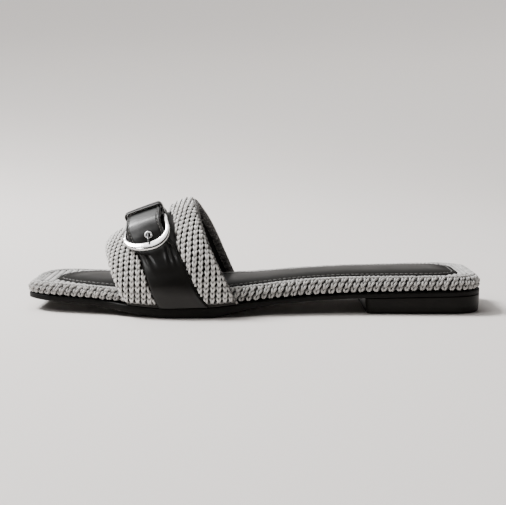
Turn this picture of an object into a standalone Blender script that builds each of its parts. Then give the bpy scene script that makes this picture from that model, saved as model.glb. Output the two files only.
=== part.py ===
"""Flat slide sandal for the left foot, built as separate solids.

Metres, +Z up. The toe points to -X and the outer (lateral) side of the foot to -Y.
Sizes and tables are written in millimetres and turned into metres when a mesh is made.
"along" is the distance from the toe's tip towards the heel.
"""

import math
from typing import NamedTuple

import bmesh
import bpy
from mathutils import Vector

MM = 0.001
OBJECT_NAME = "flat_slide_sandal"

# Overall sizes
LENGTH = 252.0
SIDE_SHIFT = -0.35
GAP = 0.3
SOLE_POINTS = 34
RIM_POINTS = 134

# Woven footbed
SEAT_DEPTH = 3.0
STRIP_RELIEF = 0.35

# Heel block
HEEL_TAPER = 0.4
HEEL_EDGE = 0.9

# Woven upper
LEAN = 0.525
FOOT_LEVEL = 6.0
SPRING_LEVEL = 12.0
RIDGE = 4.0
ARCH_POWER = 1.72
ARCH_SHARE = 0.82
ARCH_STEPS = 28
LEG_STEPS = 3
FRONT_FOOT = 58.3
REAR_FOOT = 120.6
FRONT_TUCK = 1.4
REAR_SPREAD = 1.4
REAR_TUCK = 4.0
REAR_LATERAL_TUCK = 2.9
REAR_PEAK = 0.6
LEG_WALL = 3.4
CROWN_WALL = 5.2
LINING_GAP = 1.0
RIBS_PER_LOBE = 6
RIB_HEIGHT = 0.6
CHANNEL_SHARE = 0.5
CHANNEL_SLOPE = 1.3

# Leather strap, its places measured along the strap from the ridge (lateral is negative)
STRAP_FOOT = 89.3
FOOT_TO_WIDTH = 0.885
STRAP_WIDE = 10.5
STRAP_FLARE = 2.0
STRAP_THICK = 1.6
STRAP_LEVEL = 4.0
FREE_END = 23.0
STRAP_ZERO = 2.3
FREE_TILT = 1.4
TURN_RADIUS = 2.15

# Buckle, eyelet and keeper
BAR_PLACE = -15.0
BAR_RADIUS = 1.15
TIP_PLACE = -38.7
BUCKLE_SHIFT = -2.0
KEEPER_SHIFT = 0.6
FRAME_HALF = 11.6
FRAME_TURN = -0.0844
FRAME_ACROSS = -0.6
FRAME_THICK = 2.4
FRAME_SIDE = 2.1
FRAME_TIP = 5.0
FRAME_LEVEL = 7.5
FRAME_TIP_LEVEL = 8.0
FRAME_STEPS = 11
EYELET_PLACE = -30.0
EYELET_ACROSS = 0.8
PRONG_SLANT = 0.17
EYELET_HOLE = 1.2
EYELET_TUBE = 1.45
EYELET_FLANGE = 2.1
STRAP_HOLE = 1.75
PRONG_RADIUS = 0.55
KEEPER_START = -11.6
KEEPER_END = -4.6
KEEPER_THICK = 1.0


class Station(NamedTuple):
    """One row of the sole: half widths, underside height, outsole thickness, rim height."""
    along: float
    lateral: float
    medial: float
    bottom: float
    thick: float
    rim: float


STATIONS = (
    Station(0, 20.0, 39.0, 6.9, 2.6, 6.3),
    Station(15, 22.8, 40.0, 6.0, 3.0, 6.7),
    Station(30, 26.8, 40.8, 5.1, 3.3, 6.8),
    Station(46, 31.2, 41.4, 3.8, 3.7, 7.0),
    Station(65, 37.0, 41.4, 1.6, 4.4, 7.6),
    Station(82, 40.5, 40.4, 0.0, 5.4, 8.0),
    Station(102, 39.8, 36.6, 0.0, 5.7, 8.1),
    Station(117, 37.0, 31.6, 2.6, 4.3, 8.3),
    Station(135, 33.4, 27.6, 5.3, 3.0, 8.6),
    Station(155, 30.8, 26.2, 7.1, 2.7, 8.9),
    Station(175, 30.0, 27.2, 8.2, 2.7, 8.8),
    Station(195, 30.2, 29.0, 8.9, 2.7, 8.4),
    Station(215, 30.8, 30.6, 9.4, 2.7, 8.2),
    Station(235, 30.8, 30.8, 9.8, 2.7, 8.0),
    Station(252, 30.2, 30.2, 10.0, 2.7, 7.8),
)


class Hoop(NamedTuple):
    """Inner crown height of the upper over one place along its foot."""
    foot: float
    crown: float


HOOPS = (
    Hoop(45, 26.0),
    Hoop(57.5, 31.8),
    Hoop(73, 39.4),
    Hoop(89, 45.8),
    Hoop(105, 51.6),
    Hoop(121, 57.6),
    Hoop(133, 62.0),
)


class Lift(NamedTuple):
    """How far the free end is lifted off the upper's channel, along the strap."""
    place: float
    lift: float


LIFTS = (
    Lift(-200, 0.0),
    Lift(-43, 0.0),
    Lift(-38, 0.2),
    Lift(-34.5, 0.8),
    Lift(-31.8, 1.9),
    Lift(-28, 3.8),
    Lift(-24, 5.3),
    Lift(-20.5, 6.0),
    Lift(-12, 6.0),
    Lift(-6, 5.4),
    Lift(2, 3.4),
    Lift(10, 2.1),
    Lift(40, 2.1),
)


class RimRing(NamedTuple):
    """One ring of the footbed's rim: inset from the outline, share of the rim's height."""
    inset: float
    share: float
    relief: float


RIM_RINGS = (
    RimRing(2.0, 0.0, 0.0),
    RimRing(0.5, 0.22, 1.0),
    RimRing(0.0, 0.48, -1.0),
    RimRing(0.8, 0.74, 1.0),
    RimRing(3.0, 0.93, -1.0),
)


class InsoleRing(NamedTuple):
    """One ring of the insole: squeeze towards its middle, height over the rim's top."""
    squeeze: float
    rise: float


INSOLE_RINGS = (
    InsoleRing(0.0, -0.6),
    InsoleRing(0.9, 0.05),
    InsoleRing(5.0, 0.8),
    InsoleRing(12.0, 1.75),
    InsoleRing(18.0, 2.1),
)


class Outline(NamedTuple):
    """A plan outline: its ends, its inset from the stations and how its ends are rounded."""
    toe: float
    heel: float
    inset: float
    flare: float
    toe_round: float
    toe_flat: float
    heel_round: float
    heel_flat: float


RIM = Outline(0.0, LENGTH, 0.0, 0.0, 17.0, 0.42, 17.0, 0.5)
OUTSOLE = Outline(0.4, LENGTH + 0.1, 0.0, 3.0, 17.0, 0.42, 17.0, 0.5)
INSOLE = Outline(16.4, LENGTH - 11.0, 8.4, 0.0, 24.0, 0.16, 13.0, 0.46)
SEAT = Outline(16.0, LENGTH - 10.6, 8.0, 0.0, 24.0, 0.16, 13.0, 0.46)
HEEL = Outline(187.5, LENGTH + 0.1, -0.1, 0.0, 4.0, 0.88, 17.0, 0.5)


def glide(rows, name, at):
    """Read a table's named column between its rows, smoothly and without overshoot."""
    places = [row[0] for row in rows]
    values = [getattr(row, name) for row in rows]
    at = min(max(at, places[0]), places[-1])
    steps = [b - a for a, b in zip(places, places[1:])]
    rates = [(b - a) / s for a, b, s in zip(values, values[1:], steps)]

    def slope(i):
        if i == 0 or i == len(rows) - 1:
            return rates[min(i, len(rates) - 1)]
        before, after = rates[i - 1], rates[i]
        if before * after <= 0:
            return 0.0
        return 2 * before * after / (before + after)

    i = 0
    while i < len(steps) - 1 and at > places[i + 1]:
        i += 1
    span = steps[i]
    t = (at - places[i]) / span
    start = (1 + 2 * t) * (1 - t) ** 2 * values[i] + t * (1 - t) ** 2 * span * slope(i)
    finish = t * t * (3 - 2 * t) * values[i + 1] + t * t * (t - 1) * span * slope(i + 1)
    return start + finish


def smooth(low, high, at):
    """Go from 0 to 1 between two places with level ends."""
    t = min(max((at - low) / (high - low), 0.0), 1.0)
    return t * t * (3 - 2 * t)


def sole_top(along):
    return glide(STATIONS, "bottom", along) + glide(STATIONS, "thick", along)


def rim_top(along):
    return sole_top(along) + GAP + glide(STATIONS, "rim", along)


# Plan outlines


def rounded_end(part, flat):
    part = min(max(part, 0.0), 1.0)
    return flat + (1 - flat) * math.sqrt(1 - (1 - part) ** 2)


def edge(outline, side, along):
    """Half width of an outline on one side, with its ends rounded."""
    flare = smooth(44, 58, along) * (1 - smooth(116, 130, along))
    wide = glide(STATIONS, side, along) - outline.inset + outline.flare * flare
    toe = rounded_end((along - outline.toe) / outline.toe_round, outline.toe_flat)
    heel = rounded_end((outline.heel - along) / outline.heel_round, outline.heel_flat)
    return wide * toe * heel


def side_path(outline, side, count):
    """Evenly spaced plan points from the middle of the toe to the middle of the heel."""
    sign = -1 if side == "lateral" else 1
    turns = [1 - math.cos(math.radians(90 * i / 14)) for i in range(15)]
    places = [outline.toe + outline.toe_round * turn for turn in turns]
    span = outline.heel - outline.heel_round - places[-1]
    places += [places[-1] + span * i / 60 for i in range(1, 60)]
    places += [outline.heel - outline.heel_round * turn for turn in reversed(turns)]
    points = [Vector((place, sign * edge(outline, side, place))) for place in places]

    def middle(place):
        return (edge(outline, "medial", place) - edge(outline, "lateral", place)) / 2

    points.insert(0, Vector((outline.toe, middle(outline.toe))))
    points.append(Vector((outline.heel, middle(outline.heel))))
    return even(points, count)


def even(points, count):
    """Spread a number of points evenly along a polyline."""
    lengths = [0.0]
    for a, b in zip(points, points[1:]):
        lengths.append(lengths[-1] + (b - a).length)
    spread = []
    i = 0
    for k in range(count):
        goal = lengths[-1] * k / (count - 1)
        while i < len(points) - 2 and lengths[i + 1] < goal:
            i += 1
        share = (goal - lengths[i]) / (lengths[i + 1] - lengths[i])
        spread.append(points[i].lerp(points[i + 1], min(max(share, 0.0), 1.0)))
    return spread


def moved_in(path, side, insets):
    """Move each point of a side path towards the inside of the outline."""
    moved = []
    for k, point in enumerate(path):
        ahead = path[min(k + 1, len(path) - 1)]
        behind = path[max(k - 1, 0)]
        run = (ahead - behind).normalized()
        inward = Vector((-run.y, run.x)) if side == "lateral" else Vector((run.y, -run.x))
        if k == 0:
            inward = Vector((1, 0))
        if k == len(path) - 1:
            inward = Vector((-1, 0))
        moved.append(point + inward * insets[k])
    return moved


def plan_ring(outline, count, inset=0.0, relief=0.0):
    """Both sides of an outline, moved in, with every other point raised by the relief."""
    sides = []
    for side in ("lateral", "medial"):
        path = side_path(outline, side, count)
        insets = [inset - relief * (-1) ** k for k in range(count)]
        sides.append(moved_in(path, side, insets))
    return sides


def squeezed(sides, outline, amount):
    """Draw a ring towards the outline's middle line without folding its corners."""
    half = (outline.heel - outline.toe) / 2
    middle = (outline.heel + outline.toe) / 2
    shrunk = [[], []]
    for left, right in zip(*sides):
        centre = (left.y + right.y) / 2
        for store, point in zip(shrunk, (left, right)):
            along = middle + (point.x - middle) * (1 - amount / half)
            store.append(Vector((along, centre + (point.y - centre) * (1 - amount / 25.0))))
    return shrunk


def raised(sides, level):
    """Give plan points their heights."""
    return [[Vector((p.x, p.y, level(p.x))) for p in path] for path in sides]


# Meshes


def material(name, colour, metallic, roughness):
    made = bpy.data.materials.new(name)
    made.use_nodes = True
    shader = made.node_tree.nodes["Principled BSDF"]
    shader.inputs["Base Color"].default_value = (*colour, 1.0)
    shader.inputs["Metallic"].default_value = metallic
    shader.inputs["Roughness"].default_value = roughness
    return made


def finish(name, mesh_data, collection, look):
    """Turn a bmesh in millimetres along the shoe into a named object in metres."""
    for vertex in mesh_data.verts:
        along, across, height = vertex.co
        vertex.co = Vector((along - LENGTH / 2, across + SIDE_SHIFT, height)) * MM
    bmesh.ops.recalc_face_normals(mesh_data, faces=mesh_data.faces)
    mesh = bpy.data.meshes.new(name)
    mesh_data.to_mesh(mesh)
    mesh_data.free()
    mesh.materials.append(look)
    made = bpy.data.objects.new(name, mesh)
    collection.objects.link(made)
    return made


def stack(name, rings, collection, look):
    """Stack plan rings and close both ends with strips from side to side."""
    made = bmesh.new()
    loops = []
    for lateral, medial in rings:
        near = [made.verts.new(p) for p in lateral]
        far = [near[0]] + [made.verts.new(p) for p in medial[1:-1]] + [near[-1]]
        loops.append((near, far))
    for (near, far), (near_up, far_up) in zip(loops, loops[1:]):
        for low, high in ((near, near_up), (far, far_up)):
            for k in range(len(low) - 1):
                made.faces.new((low[k], low[k + 1], high[k + 1], high[k]))
    for near, far in (loops[0], loops[-1]):
        for k in range(len(near) - 1):
            corners = [near[k], near[k + 1]]
            corners += [v for v in (far[k + 1], far[k]) if v not in corners]
            made.faces.new(corners)
    return finish(name, made, collection, look)


def loft(name, sections, collection, look, closed=False):
    """Join like sections, and cap the ends or close the loop."""
    made = bmesh.new()
    rings = [[made.verts.new(p) for p in section] for section in sections]
    pairs = list(zip(rings, rings[1:]))
    if closed:
        pairs.append((rings[-1], rings[0]))
    for low, high in pairs:
        for k in range(len(low)):
            n = (k + 1) % len(low)
            made.faces.new((low[k], low[n], high[n], high[k]))
    if not closed:
        made.faces.new(rings[0])
        made.faces.new(rings[-1])
    return finish(name, made, collection, look)


# The upper's own surface: foot is the place along the sole, t runs from the lateral
# end (-1) over the ridge (0) to the medial end (1), height is taken from the lining


def lining(foot, t):
    side = "lateral" if t < 0 else "medial"
    sign = -1 if t < 0 else 1
    if abs(t) <= ARCH_SHARE:
        turn = abs(t) / ARCH_SHARE * math.pi / 2
        sweep = math.sin(turn)
        rise = max(math.cos(turn), 0.0) ** (2 / ARCH_POWER)
        reach = edge(RIM, side, foot - LEAN * (SPRING_LEVEL - FOOT_LEVEL)) + LINING_GAP
        y = RIDGE + (sign * reach - RIDGE) * sweep
        z = SPRING_LEVEL + (glide(HOOPS, "crown", foot) - SPRING_LEVEL) * rise
        return Vector((foot - LEAN * (z - FOOT_LEVEL), y, z))
    down = (abs(t) - ARCH_SHARE) / (1 - ARCH_SHARE)
    z = SPRING_LEVEL + (sole_top(foot) + GAP - SPRING_LEVEL) * down
    along = foot - LEAN * (z - FOOT_LEVEL)
    return Vector((along, sign * (edge(RIM, side, along) + LINING_GAP), z))


def on_upper(foot, t, height):
    """A point a given height outside the lining."""
    across = lining(foot + 0.5, t) - lining(foot - 0.5, t)
    over = lining(foot, min(t + 0.012, 1.0)) - lining(foot, max(t - 0.012, -1.0))
    return lining(foot, t) + across.cross(over).normalized() * height


def rise_share(t):
    return math.cos(min(abs(t) / ARCH_SHARE, 1.0) * math.pi / 2)


def wall(t):
    return LEG_WALL + (CROWN_WALL - LEG_WALL) * rise_share(t)


def strap_sides(t):
    """How far the strap reaches towards the toe and the heel, measured along the foot."""
    toe = STRAP_WIDE + STRAP_FLARE * smooth(0.45, 0.9, abs(t))
    heel = STRAP_WIDE + STRAP_FLARE * smooth(0.72, 1.0, abs(t))
    return toe, heel


def strap_half(t):
    toe, heel = strap_sides(t)
    return (toe + heel) / 2


def strap_lean(t):
    """How far the strap's middle line runs off towards the heel, measured along the foot."""
    toe, heel = strap_sides(t)
    return (heel - toe) / 2


def channel_edges(t):
    """Front and rear edge of the upper's channel, wider round the buckle."""
    toe, heel = strap_sides(t)
    past = 1 - smooth(0.1, 0.3, t)
    toe += 0.4 + 3.9 * smooth(-0.46, -0.3, t) * past
    heel += 0.4 + (4.6 * smooth(-0.5, -0.22, t) - 1.7 * smooth(-0.165, -0.1, t)) * past
    return STRAP_FOOT - toe, STRAP_FOOT + heel


def channel_floor(t):
    return wall(t) * (1 - CHANNEL_SHARE)


def front_foot(t):
    """Front edge of the upper, tucked back at both feet."""
    return FRONT_FOOT + FRONT_TUCK * smooth(0.88, 1.0, abs(t))


def rear_foot(t):
    """Rear edge of the upper, further back on the medial side and tucked in at both feet."""
    medial = REAR_SPREAD * smooth(0.0, 0.5, t) - REAR_TUCK * smooth(0.25, 0.85, t)
    peak = REAR_PEAK * (1 - smooth(0.04, 0.3, abs(t)))
    return REAR_FOOT + peak + medial - REAR_LATERAL_TUCK * smooth(0.12, 0.6, -t)


def upper_section(t):
    """Closed section of the upper across its width, strips raised on its outside."""
    thick = wall(t)
    channel_front, channel_rear = channel_edges(t)
    first = front_foot(t)
    last = rear_foot(t)
    lobes = (
        (first, channel_front - CHANNEL_SLOPE),
        (channel_rear + CHANNEL_SLOPE, last),
    )
    outside = []
    for start, end in lobes:
        for rib in range(RIBS_PER_LOBE):
            for share, lift in ((0.14, 0.0), (0.34, 1.0), (0.72, 1.0)):
                part = (rib + share) / RIBS_PER_LOBE
                round_off = 1 - 0.24 * abs(2 * part - 1) ** 4
                height = thick * round_off + RIB_HEIGHT * (lift - 1)
                outside.append((start + (end - start) * part, height))
        if start == first:
            for share in (0.0, 0.25, 0.5, 0.75, 1.0):
                foot = channel_front + (channel_rear - channel_front) * share
                outside.append((foot, channel_floor(t)))
    front = [(first + 0.7, 0.0), (first - 0.1, 0.42 * thick)]
    rear = [(last + 0.1, 0.42 * thick), (last - 0.7, 0.0)]
    inside = [(last - (last - first) * i / 6, 0.0) for i in range(1, 6)]
    return [on_upper(foot, t, height) for foot, height in front + outside + rear + inside]


def upper_places():
    arch = [ARCH_SHARE * (2 * i / ARCH_STEPS - 1) for i in range(ARCH_STEPS + 1)]
    legs = [ARCH_SHARE + (1 - ARCH_SHARE) * i / LEG_STEPS for i in range(1, LEG_STEPS + 1)]
    return [-t for t in reversed(legs)] + arch + legs


# The strap's own measure: place along the strap, distance across it, height off the lining


def strap_measure():
    """Pairs of place along the strap and t, the place zero just lateral of the ridge."""
    count = 400
    ts = [2 * i / count - 1 for i in range(count + 1)]
    points = [on_upper(STRAP_FOOT, t, STRAP_LEVEL) for t in ts]
    places = [0.0]
    for a, b in zip(points, points[1:]):
        places.append(places[-1] + (b - a).length)
    zero = places[count // 2] - STRAP_ZERO
    return [(place - zero, t) for place, t in zip(places, ts)]


MEASURE = strap_measure()


def strap_t(place):
    for (a, t_a), (b, t_b) in zip(MEASURE, MEASURE[1:]):
        if place <= b:
            return t_a + (t_b - t_a) * (place - a) / (b - a)
    return 1.0


def lying_places(start, end):
    """Places along the strap on the upper's own sections, so both bend at the same lines."""
    spots = []
    for t in upper_places():
        for (a, t_a), (b, t_b) in zip(MEASURE, MEASURE[1:]):
            if t_a <= t <= t_b:
                spots.append(a + (b - a) * (t - t_a) / (t_b - t_a))
                break
    return [spot for spot in spots if start <= spot <= end]


def buckle_shift(place):
    """The buckle sits a little towards the toe and the strap runs back to the middle over it."""
    over = smooth(-26, -12, place)
    return BUCKLE_SHIFT * (1 - over) + KEEPER_SHIFT * over * (1 - smooth(0, 14, place))


def on_strap(place, across, height):
    """A point by place along the strap, millimetres across it and height off the lining."""
    t = strap_t(place)
    across += buckle_shift(place)
    return on_upper(STRAP_FOOT + strap_lean(t) + across / FOOT_TO_WIDTH, t, height)


def strap_floor(place):
    return channel_floor(strap_t(place)) + 2.4 * GAP


def free_tilt(place, share):
    """How far the free end's toe side is lifted more under the keeper (share -1 to 1 across)."""
    over = smooth(-27, -14, place) * (1 - smooth(-4, 8, place))
    return FREE_TILT * over * (1 - share) / 2


def ribbon_sections(path, thick, half, tilt):
    """Strap sections along a path of (place, height) points."""
    sections = []
    for i, (place, height) in enumerate(path):
        before = Vector(path[max(i - 1, 0)])
        after = Vector(path[min(i + 1, len(path) - 1)])
        run = (after - before).normalized()
        out = Vector((-run.y, run.x)) * thick / 2
        wide = half(strap_t(place)) * FOOT_TO_WIDTH
        settle = BUCKLE_SHIFT * (smooth(-40, -31, place) - 1)
        low = (place - out.x, height - out.y)
        mid = (place + out.x * 0.4, height + out.y * 0.4)
        high = (place + out.x, height + out.y)
        corners = (
            (low, -wide), (mid, -wide), (high, 0.6 - wide),
            (high, wide - 0.6), (mid, wide), (low, wide),
            (low, wide / 2), (low, 0.0), (low, -wide / 2),
        )
        section = []
        for spot, across in corners:
            rise = free_tilt(place, across / wide) if tilt else 0.0
            section.append(on_strap(spot[0], across + settle, spot[1] + rise))
        sections.append(section)
    return sections


def spread(start, end, count):
    return [start + (end - start) * i / (count - 1) for i in range(count)]


def free_end_path():
    places = lying_places(-200, -40) + spread(-38, 0, 16) + spread(4, FREE_END, 6)
    lifted = STRAP_THICK / 2
    return [(p, strap_floor(p) + glide(LIFTS, "lift", p) + lifted) for p in places]


def free_end_half(t):
    tip = strap_t(FREE_END)
    share = min(max((tip - t) / (tip - strap_t(FREE_END - 9)), 0.0), 1.0)
    return strap_half(t) * (0.35 + 0.65 * math.sqrt(1 - (1 - share) ** 2))


def buckle_end_half(t):
    """The buckle end is drawn in where it wraps the bar."""
    return strap_half(t) * (1 - 0.11 * smooth(0.02, -0.06, t))


def bar_height():
    return strap_floor(BAR_PLACE) + TURN_RADIUS + (STRAP_THICK - 0.2) / 2


def buckle_end_path():
    thick = STRAP_THICK - 0.2
    places = list(reversed(lying_places(-12, 200)))
    path = [(p, strap_floor(p) + thick / 2) for p in places]
    for i in range(15):
        turn = math.radians(-90 - 300 * i / 14)
        place = BAR_PLACE + TURN_RADIUS * math.cos(turn)
        path.append((place, bar_height() + TURN_RADIUS * math.sin(turn)))
    return path


# Buckle pieces


def frame_path():
    """Centre line of the D-shaped frame: (across, place, width, height) round the loop."""
    centre = TIP_PLACE + FRAME_HALF
    path = []
    for i in range(2 * FRAME_STEPS + 1):
        turn = math.radians(180 * i / (2 * FRAME_STEPS))
        across = FRAME_HALF * math.cos(turn)
        drop = math.sin(turn)
        wide = FRAME_SIDE + (FRAME_TIP - FRAME_SIDE) * drop ** 2
        level = FRAME_LEVEL + (FRAME_TIP_LEVEL - FRAME_LEVEL) * drop
        path.append((across, centre - FRAME_HALF * drop, wide, level))
    side = [(0.45, 1.0), (0.85, 0.97)]
    low = bar_height()
    for share, narrow in side:
        place = centre + (BAR_PLACE - centre) * share
        level = FRAME_LEVEL + (low - FRAME_LEVEL) * share
        path.append((-FRAME_HALF * narrow, place, FRAME_SIDE, level))
    for across in (-10.0, -5.0, 0.0, 5.0, 10.0):
        path.append((across, BAR_PLACE, 2 * BAR_RADIUS, low))
    for share, narrow in reversed(side):
        place = centre + (BAR_PLACE - centre) * share
        level = FRAME_LEVEL + (low - FRAME_LEVEL) * share
        path.append((FRAME_HALF * narrow, place, FRAME_SIDE, level))
    return path


def frame_sections():
    path = frame_path()
    sections = []
    for i, (across, place, wide, level) in enumerate(path):
        before = path[i - 1]
        after = path[(i + 1) % len(path)]
        run = Vector((after[0] - before[0], after[1] - before[1])).normalized()
        out = Vector((run.y, -run.x))
        thick = 2 * BAR_RADIUS if place == BAR_PLACE else FRAME_THICK
        section = []
        for k in range(10):
            turn = math.radians(36 * k + 18)
            flat = math.copysign(abs(math.cos(turn)) ** 0.7, math.cos(turn)) * wide / 2
            tall = math.copysign(abs(math.sin(turn)) ** 0.7, math.sin(turn)) * thick / 2
            spot = place + out.y * flat
            straight = FRAME_ACROSS + FRAME_TURN * (BAR_PLACE - spot) - buckle_shift(spot)
            beside = across + out.x * flat + straight
            section.append(on_strap(spot, beside, level + tall))
        sections.append(section)
    return sections


def prong_path():
    """Prong in (place, height): round the bar, under the strap, up the eyelet, on to the ring."""
    low = bar_height()
    under = strap_floor(EYELET_PLACE) + glide(LIFTS, "lift", EYELET_PLACE)
    top = FRAME_TIP_LEVEL
    path = []
    for i in range(13):
        turn = math.radians(205 + 245 * i / 12)
        radius = BAR_RADIUS + GAP + PRONG_RADIUS
        path.append((BAR_PLACE + radius * math.cos(turn), low + radius * math.sin(turn)))
    path.append((BAR_PLACE - 6.0, low + 1.5))
    path.append((EYELET_PLACE + 3.2, under - 0.75))
    path.append((EYELET_PLACE + 1.2, under - 0.75))
    path.append((EYELET_PLACE + 0.4, under + 0.2))
    path.append((EYELET_PLACE - 0.15, under + STRAP_THICK + 0.5))
    path.append((EYELET_PLACE - 1.1, under + STRAP_THICK + 1.3))
    path.append((EYELET_PLACE - 5.0, top + FRAME_THICK / 2 + 0.9))
    path.append((TIP_PLACE + 2.0, top + FRAME_THICK / 2 + 0.75))
    path.append((TIP_PLACE + 0.5, top + FRAME_THICK / 2 + 0.7))
    return path


def prong_across(place):
    """The prong leaves the bar in the middle and lies slanted from the eyelet to the ring."""
    slant = PRONG_SLANT * min(place - EYELET_PLACE, 0.0)
    return EYELET_ACROSS * (1 - smooth(-28, -20, place)) + slant


def rod_sections(path, radius, sides):
    sections = []
    for i, (place, height) in enumerate(path):
        before = Vector(path[max(i - 1, 0)])
        after = Vector(path[min(i + 1, len(path) - 1)])
        run = (after - before).normalized()
        out = Vector((-run.y, run.x))
        section = []
        for k in range(sides):
            turn = 2 * math.pi * k / sides
            spot = Vector((place, height)) + out * radius * math.cos(turn)
            beside = prong_across(spot.x) + radius * math.sin(turn)
            section.append(on_strap(spot.x, beside, spot.y))
        sections.append(section)
    return sections


def eyelet_frame():
    """Centre of the eyelet on the strap's top, the strap's run, its width and its outside."""
    def spot(place, across):
        height = strap_floor(place) + glide(LIFTS, "lift", place) + STRAP_THICK
        return on_strap(place, across, height)
    centre = spot(EYELET_PLACE, EYELET_ACROSS)
    ahead = spot(EYELET_PLACE + 1, EYELET_ACROSS)
    run = (ahead - spot(EYELET_PLACE - 1, EYELET_ACROSS)).normalized()
    beside = spot(EYELET_PLACE, EYELET_ACROSS + 1)
    wide = (beside - spot(EYELET_PLACE, EYELET_ACROSS - 1)).normalized()
    out = wide.cross(run).normalized()
    if out.z < 0:
        out = -out
    return centre, run, wide, out


def turned(profile, sides):
    """Sections of a ring turned about the eyelet's own axis."""
    centre, run, wide, out = eyelet_frame()
    sections = []
    for k in range(sides):
        turn = 2 * math.pi * k / sides
        arm = run * math.cos(turn) + wide * math.sin(turn)
        sections.append([centre + arm * radius + out * height for radius, height in profile])
    return sections


def keeper_sections():
    """Keeper in strips across the strap: up one side, over the free end and down the other."""
    wide = STRAP_WIDE * FOOT_TO_WIDTH + 0.4

    def over(place, across):
        lift = glide(LIFTS, "lift", place) + free_tilt(place, across / wide)
        return strap_floor(place) + lift + STRAP_THICK + 2 * GAP

    sections = []
    rows = (
        (-wide, 0.0, -1.0, 0.0), (-wide, 0.5, -1.0, 0.0), (-wide, 0.84, -1.0, 0.1),
        (-wide + 0.7, 1.0, -0.75, 0.85), (-wide * 0.5, 1.0, 0.0, 1.0), (0.0, 1.0, 0.0, 1.0),
        (wide * 0.5, 1.0, 0.0, 1.0), (wide - 0.7, 1.0, 0.75, 0.85),
        (wide, 0.84, 1.0, 0.1), (wide, 0.5, 1.0, 0.0), (wide, 0.0, 1.0, 0.0),
    )
    for across, share, side, up in rows:
        section = []
        for place in (KEEPER_START, (KEEPER_START + KEEPER_END) / 2, KEEPER_END):
            height = strap_floor(place) + (over(place, across) - strap_floor(place)) * share
            section.append(on_strap(place, across, height))
        for place in (KEEPER_END, (KEEPER_START + KEEPER_END) / 2, KEEPER_START):
            height = strap_floor(place) + (over(place, across) - strap_floor(place)) * share
            height += up * KEEPER_THICK
            section.append(on_strap(place, across + side * KEEPER_THICK, height))
        sections.append(section)
    return sections


# Pieces


def build_sole(parts, looks):
    def under(along):
        return glide(STATIONS, "bottom", along)

    rings = []
    for inset, height in ((2.2, 0.0), (0.5, 0.5), (0.0, 1.3)):
        ring = plan_ring(OUTSOLE, SOLE_POINTS, inset)
        rings.append(raised(ring, lambda along: under(along) + height))
    rings.append(raised(plan_ring(OUTSOLE, SOLE_POINTS), sole_top))
    stack("outsole", rings, parts, looks["rubber"])

    rings = []
    for inset, height in ((HEEL_TAPER + HEEL_EDGE, 0.0), (HEEL_TAPER, HEEL_EDGE)):
        ring = plan_ring(HEEL, 26, inset)
        rings.append(raised(ring, lambda along: height))
    rings.append(raised(plan_ring(HEEL, 26), lambda along: under(along) - GAP))
    stack("heel_lift", rings, parts, looks["heel"])


def build_footbed(parts, looks):
    rings = []
    for row in RIM_RINGS:
        ring = plan_ring(RIM, RIM_POINTS, row.inset, row.relief * STRIP_RELIEF)

        def level(along):
            return sole_top(along) + GAP + glide(STATIONS, "rim", along) * row.share

        rings.append(raised(ring, level))
    seat = plan_ring(SEAT, RIM_POINTS)
    rings.append(raised(seat, rim_top))
    rings.append(raised(seat, lambda along: rim_top(along) - SEAT_DEPTH))
    stack("woven_footbed", rings, parts, looks["knit"])


def build_insole(parts, looks):
    outline = plan_ring(INSOLE, SOLE_POINTS)
    rings = [raised(outline, lambda along: rim_top(along) - SEAT_DEPTH + GAP)]
    for row in INSOLE_RINGS:
        ring = squeezed(outline, INSOLE, row.squeeze)
        rings.append(raised(ring, lambda along: rim_top(along) + row.rise))
    stack("insole", rings, parts, looks["insole"])


def build_upper(parts, looks):
    sections = [upper_section(t) for t in upper_places()]
    loft("woven_upper", sections, parts, looks["knit"])


def cut(target, cutter, cutters):
    """Take one solid out of another and keep the cutter, hidden, in its own collection."""
    change = target.modifiers.new(cutter.name, "BOOLEAN")
    change.operation = "DIFFERENCE"
    change.solver = "EXACT"
    change.object = cutter
    cutter.hide_render = True
    cutter.display_type = "WIRE"


def build_straps(parts, cutters, looks):
    sections = ribbon_sections(free_end_path(), STRAP_THICK, free_end_half, True)
    free_end = loft("strap_free_end", sections, parts, looks["strap"])
    circles = zip(*turned(((STRAP_HOLE, -4.0), (STRAP_HOLE, 2.0)), 20))
    punch = loft("eyelet_punch", list(circles), cutters, looks["strap"])
    cut(free_end, punch, cutters)

    sections = ribbon_sections(buckle_end_path(), STRAP_THICK - 0.2, buckle_end_half, False)
    buckle_end = loft("strap_buckle_end", sections, parts, looks["strap"])
    slot = []
    for place in (BAR_PLACE - 5, BAR_PLACE + 4):
        corners = ((-1.3, -1.0), (1.3, -1.0), (1.3, 7.5), (-1.3, 7.5))
        floor = strap_floor(place)
        slot.append([on_strap(place, across, floor + up) for across, up in corners])
    knife = loft("prong_slot", slot, cutters, looks["strap"])
    cut(buckle_end, knife, cutters)

    loft("strap_keeper", keeper_sections(), parts, looks["strap"])


def build_buckle(parts, looks):
    loft("buckle_frame", frame_sections(), parts, looks["metal"], closed=True)
    loft("buckle_prong", rod_sections(prong_path(), PRONG_RADIUS, 8), parts, looks["metal"])
    profile = (
        (EYELET_HOLE, -STRAP_THICK), (EYELET_TUBE, -STRAP_THICK), (EYELET_TUBE, GAP),
        (EYELET_FLANGE, GAP), (EYELET_FLANGE - 0.3, GAP + 0.45), (EYELET_HOLE + 0.2, GAP + 0.45),
    )
    loft("strap_eyelet", turned(profile, 20), parts, looks["metal"], closed=True)


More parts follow.
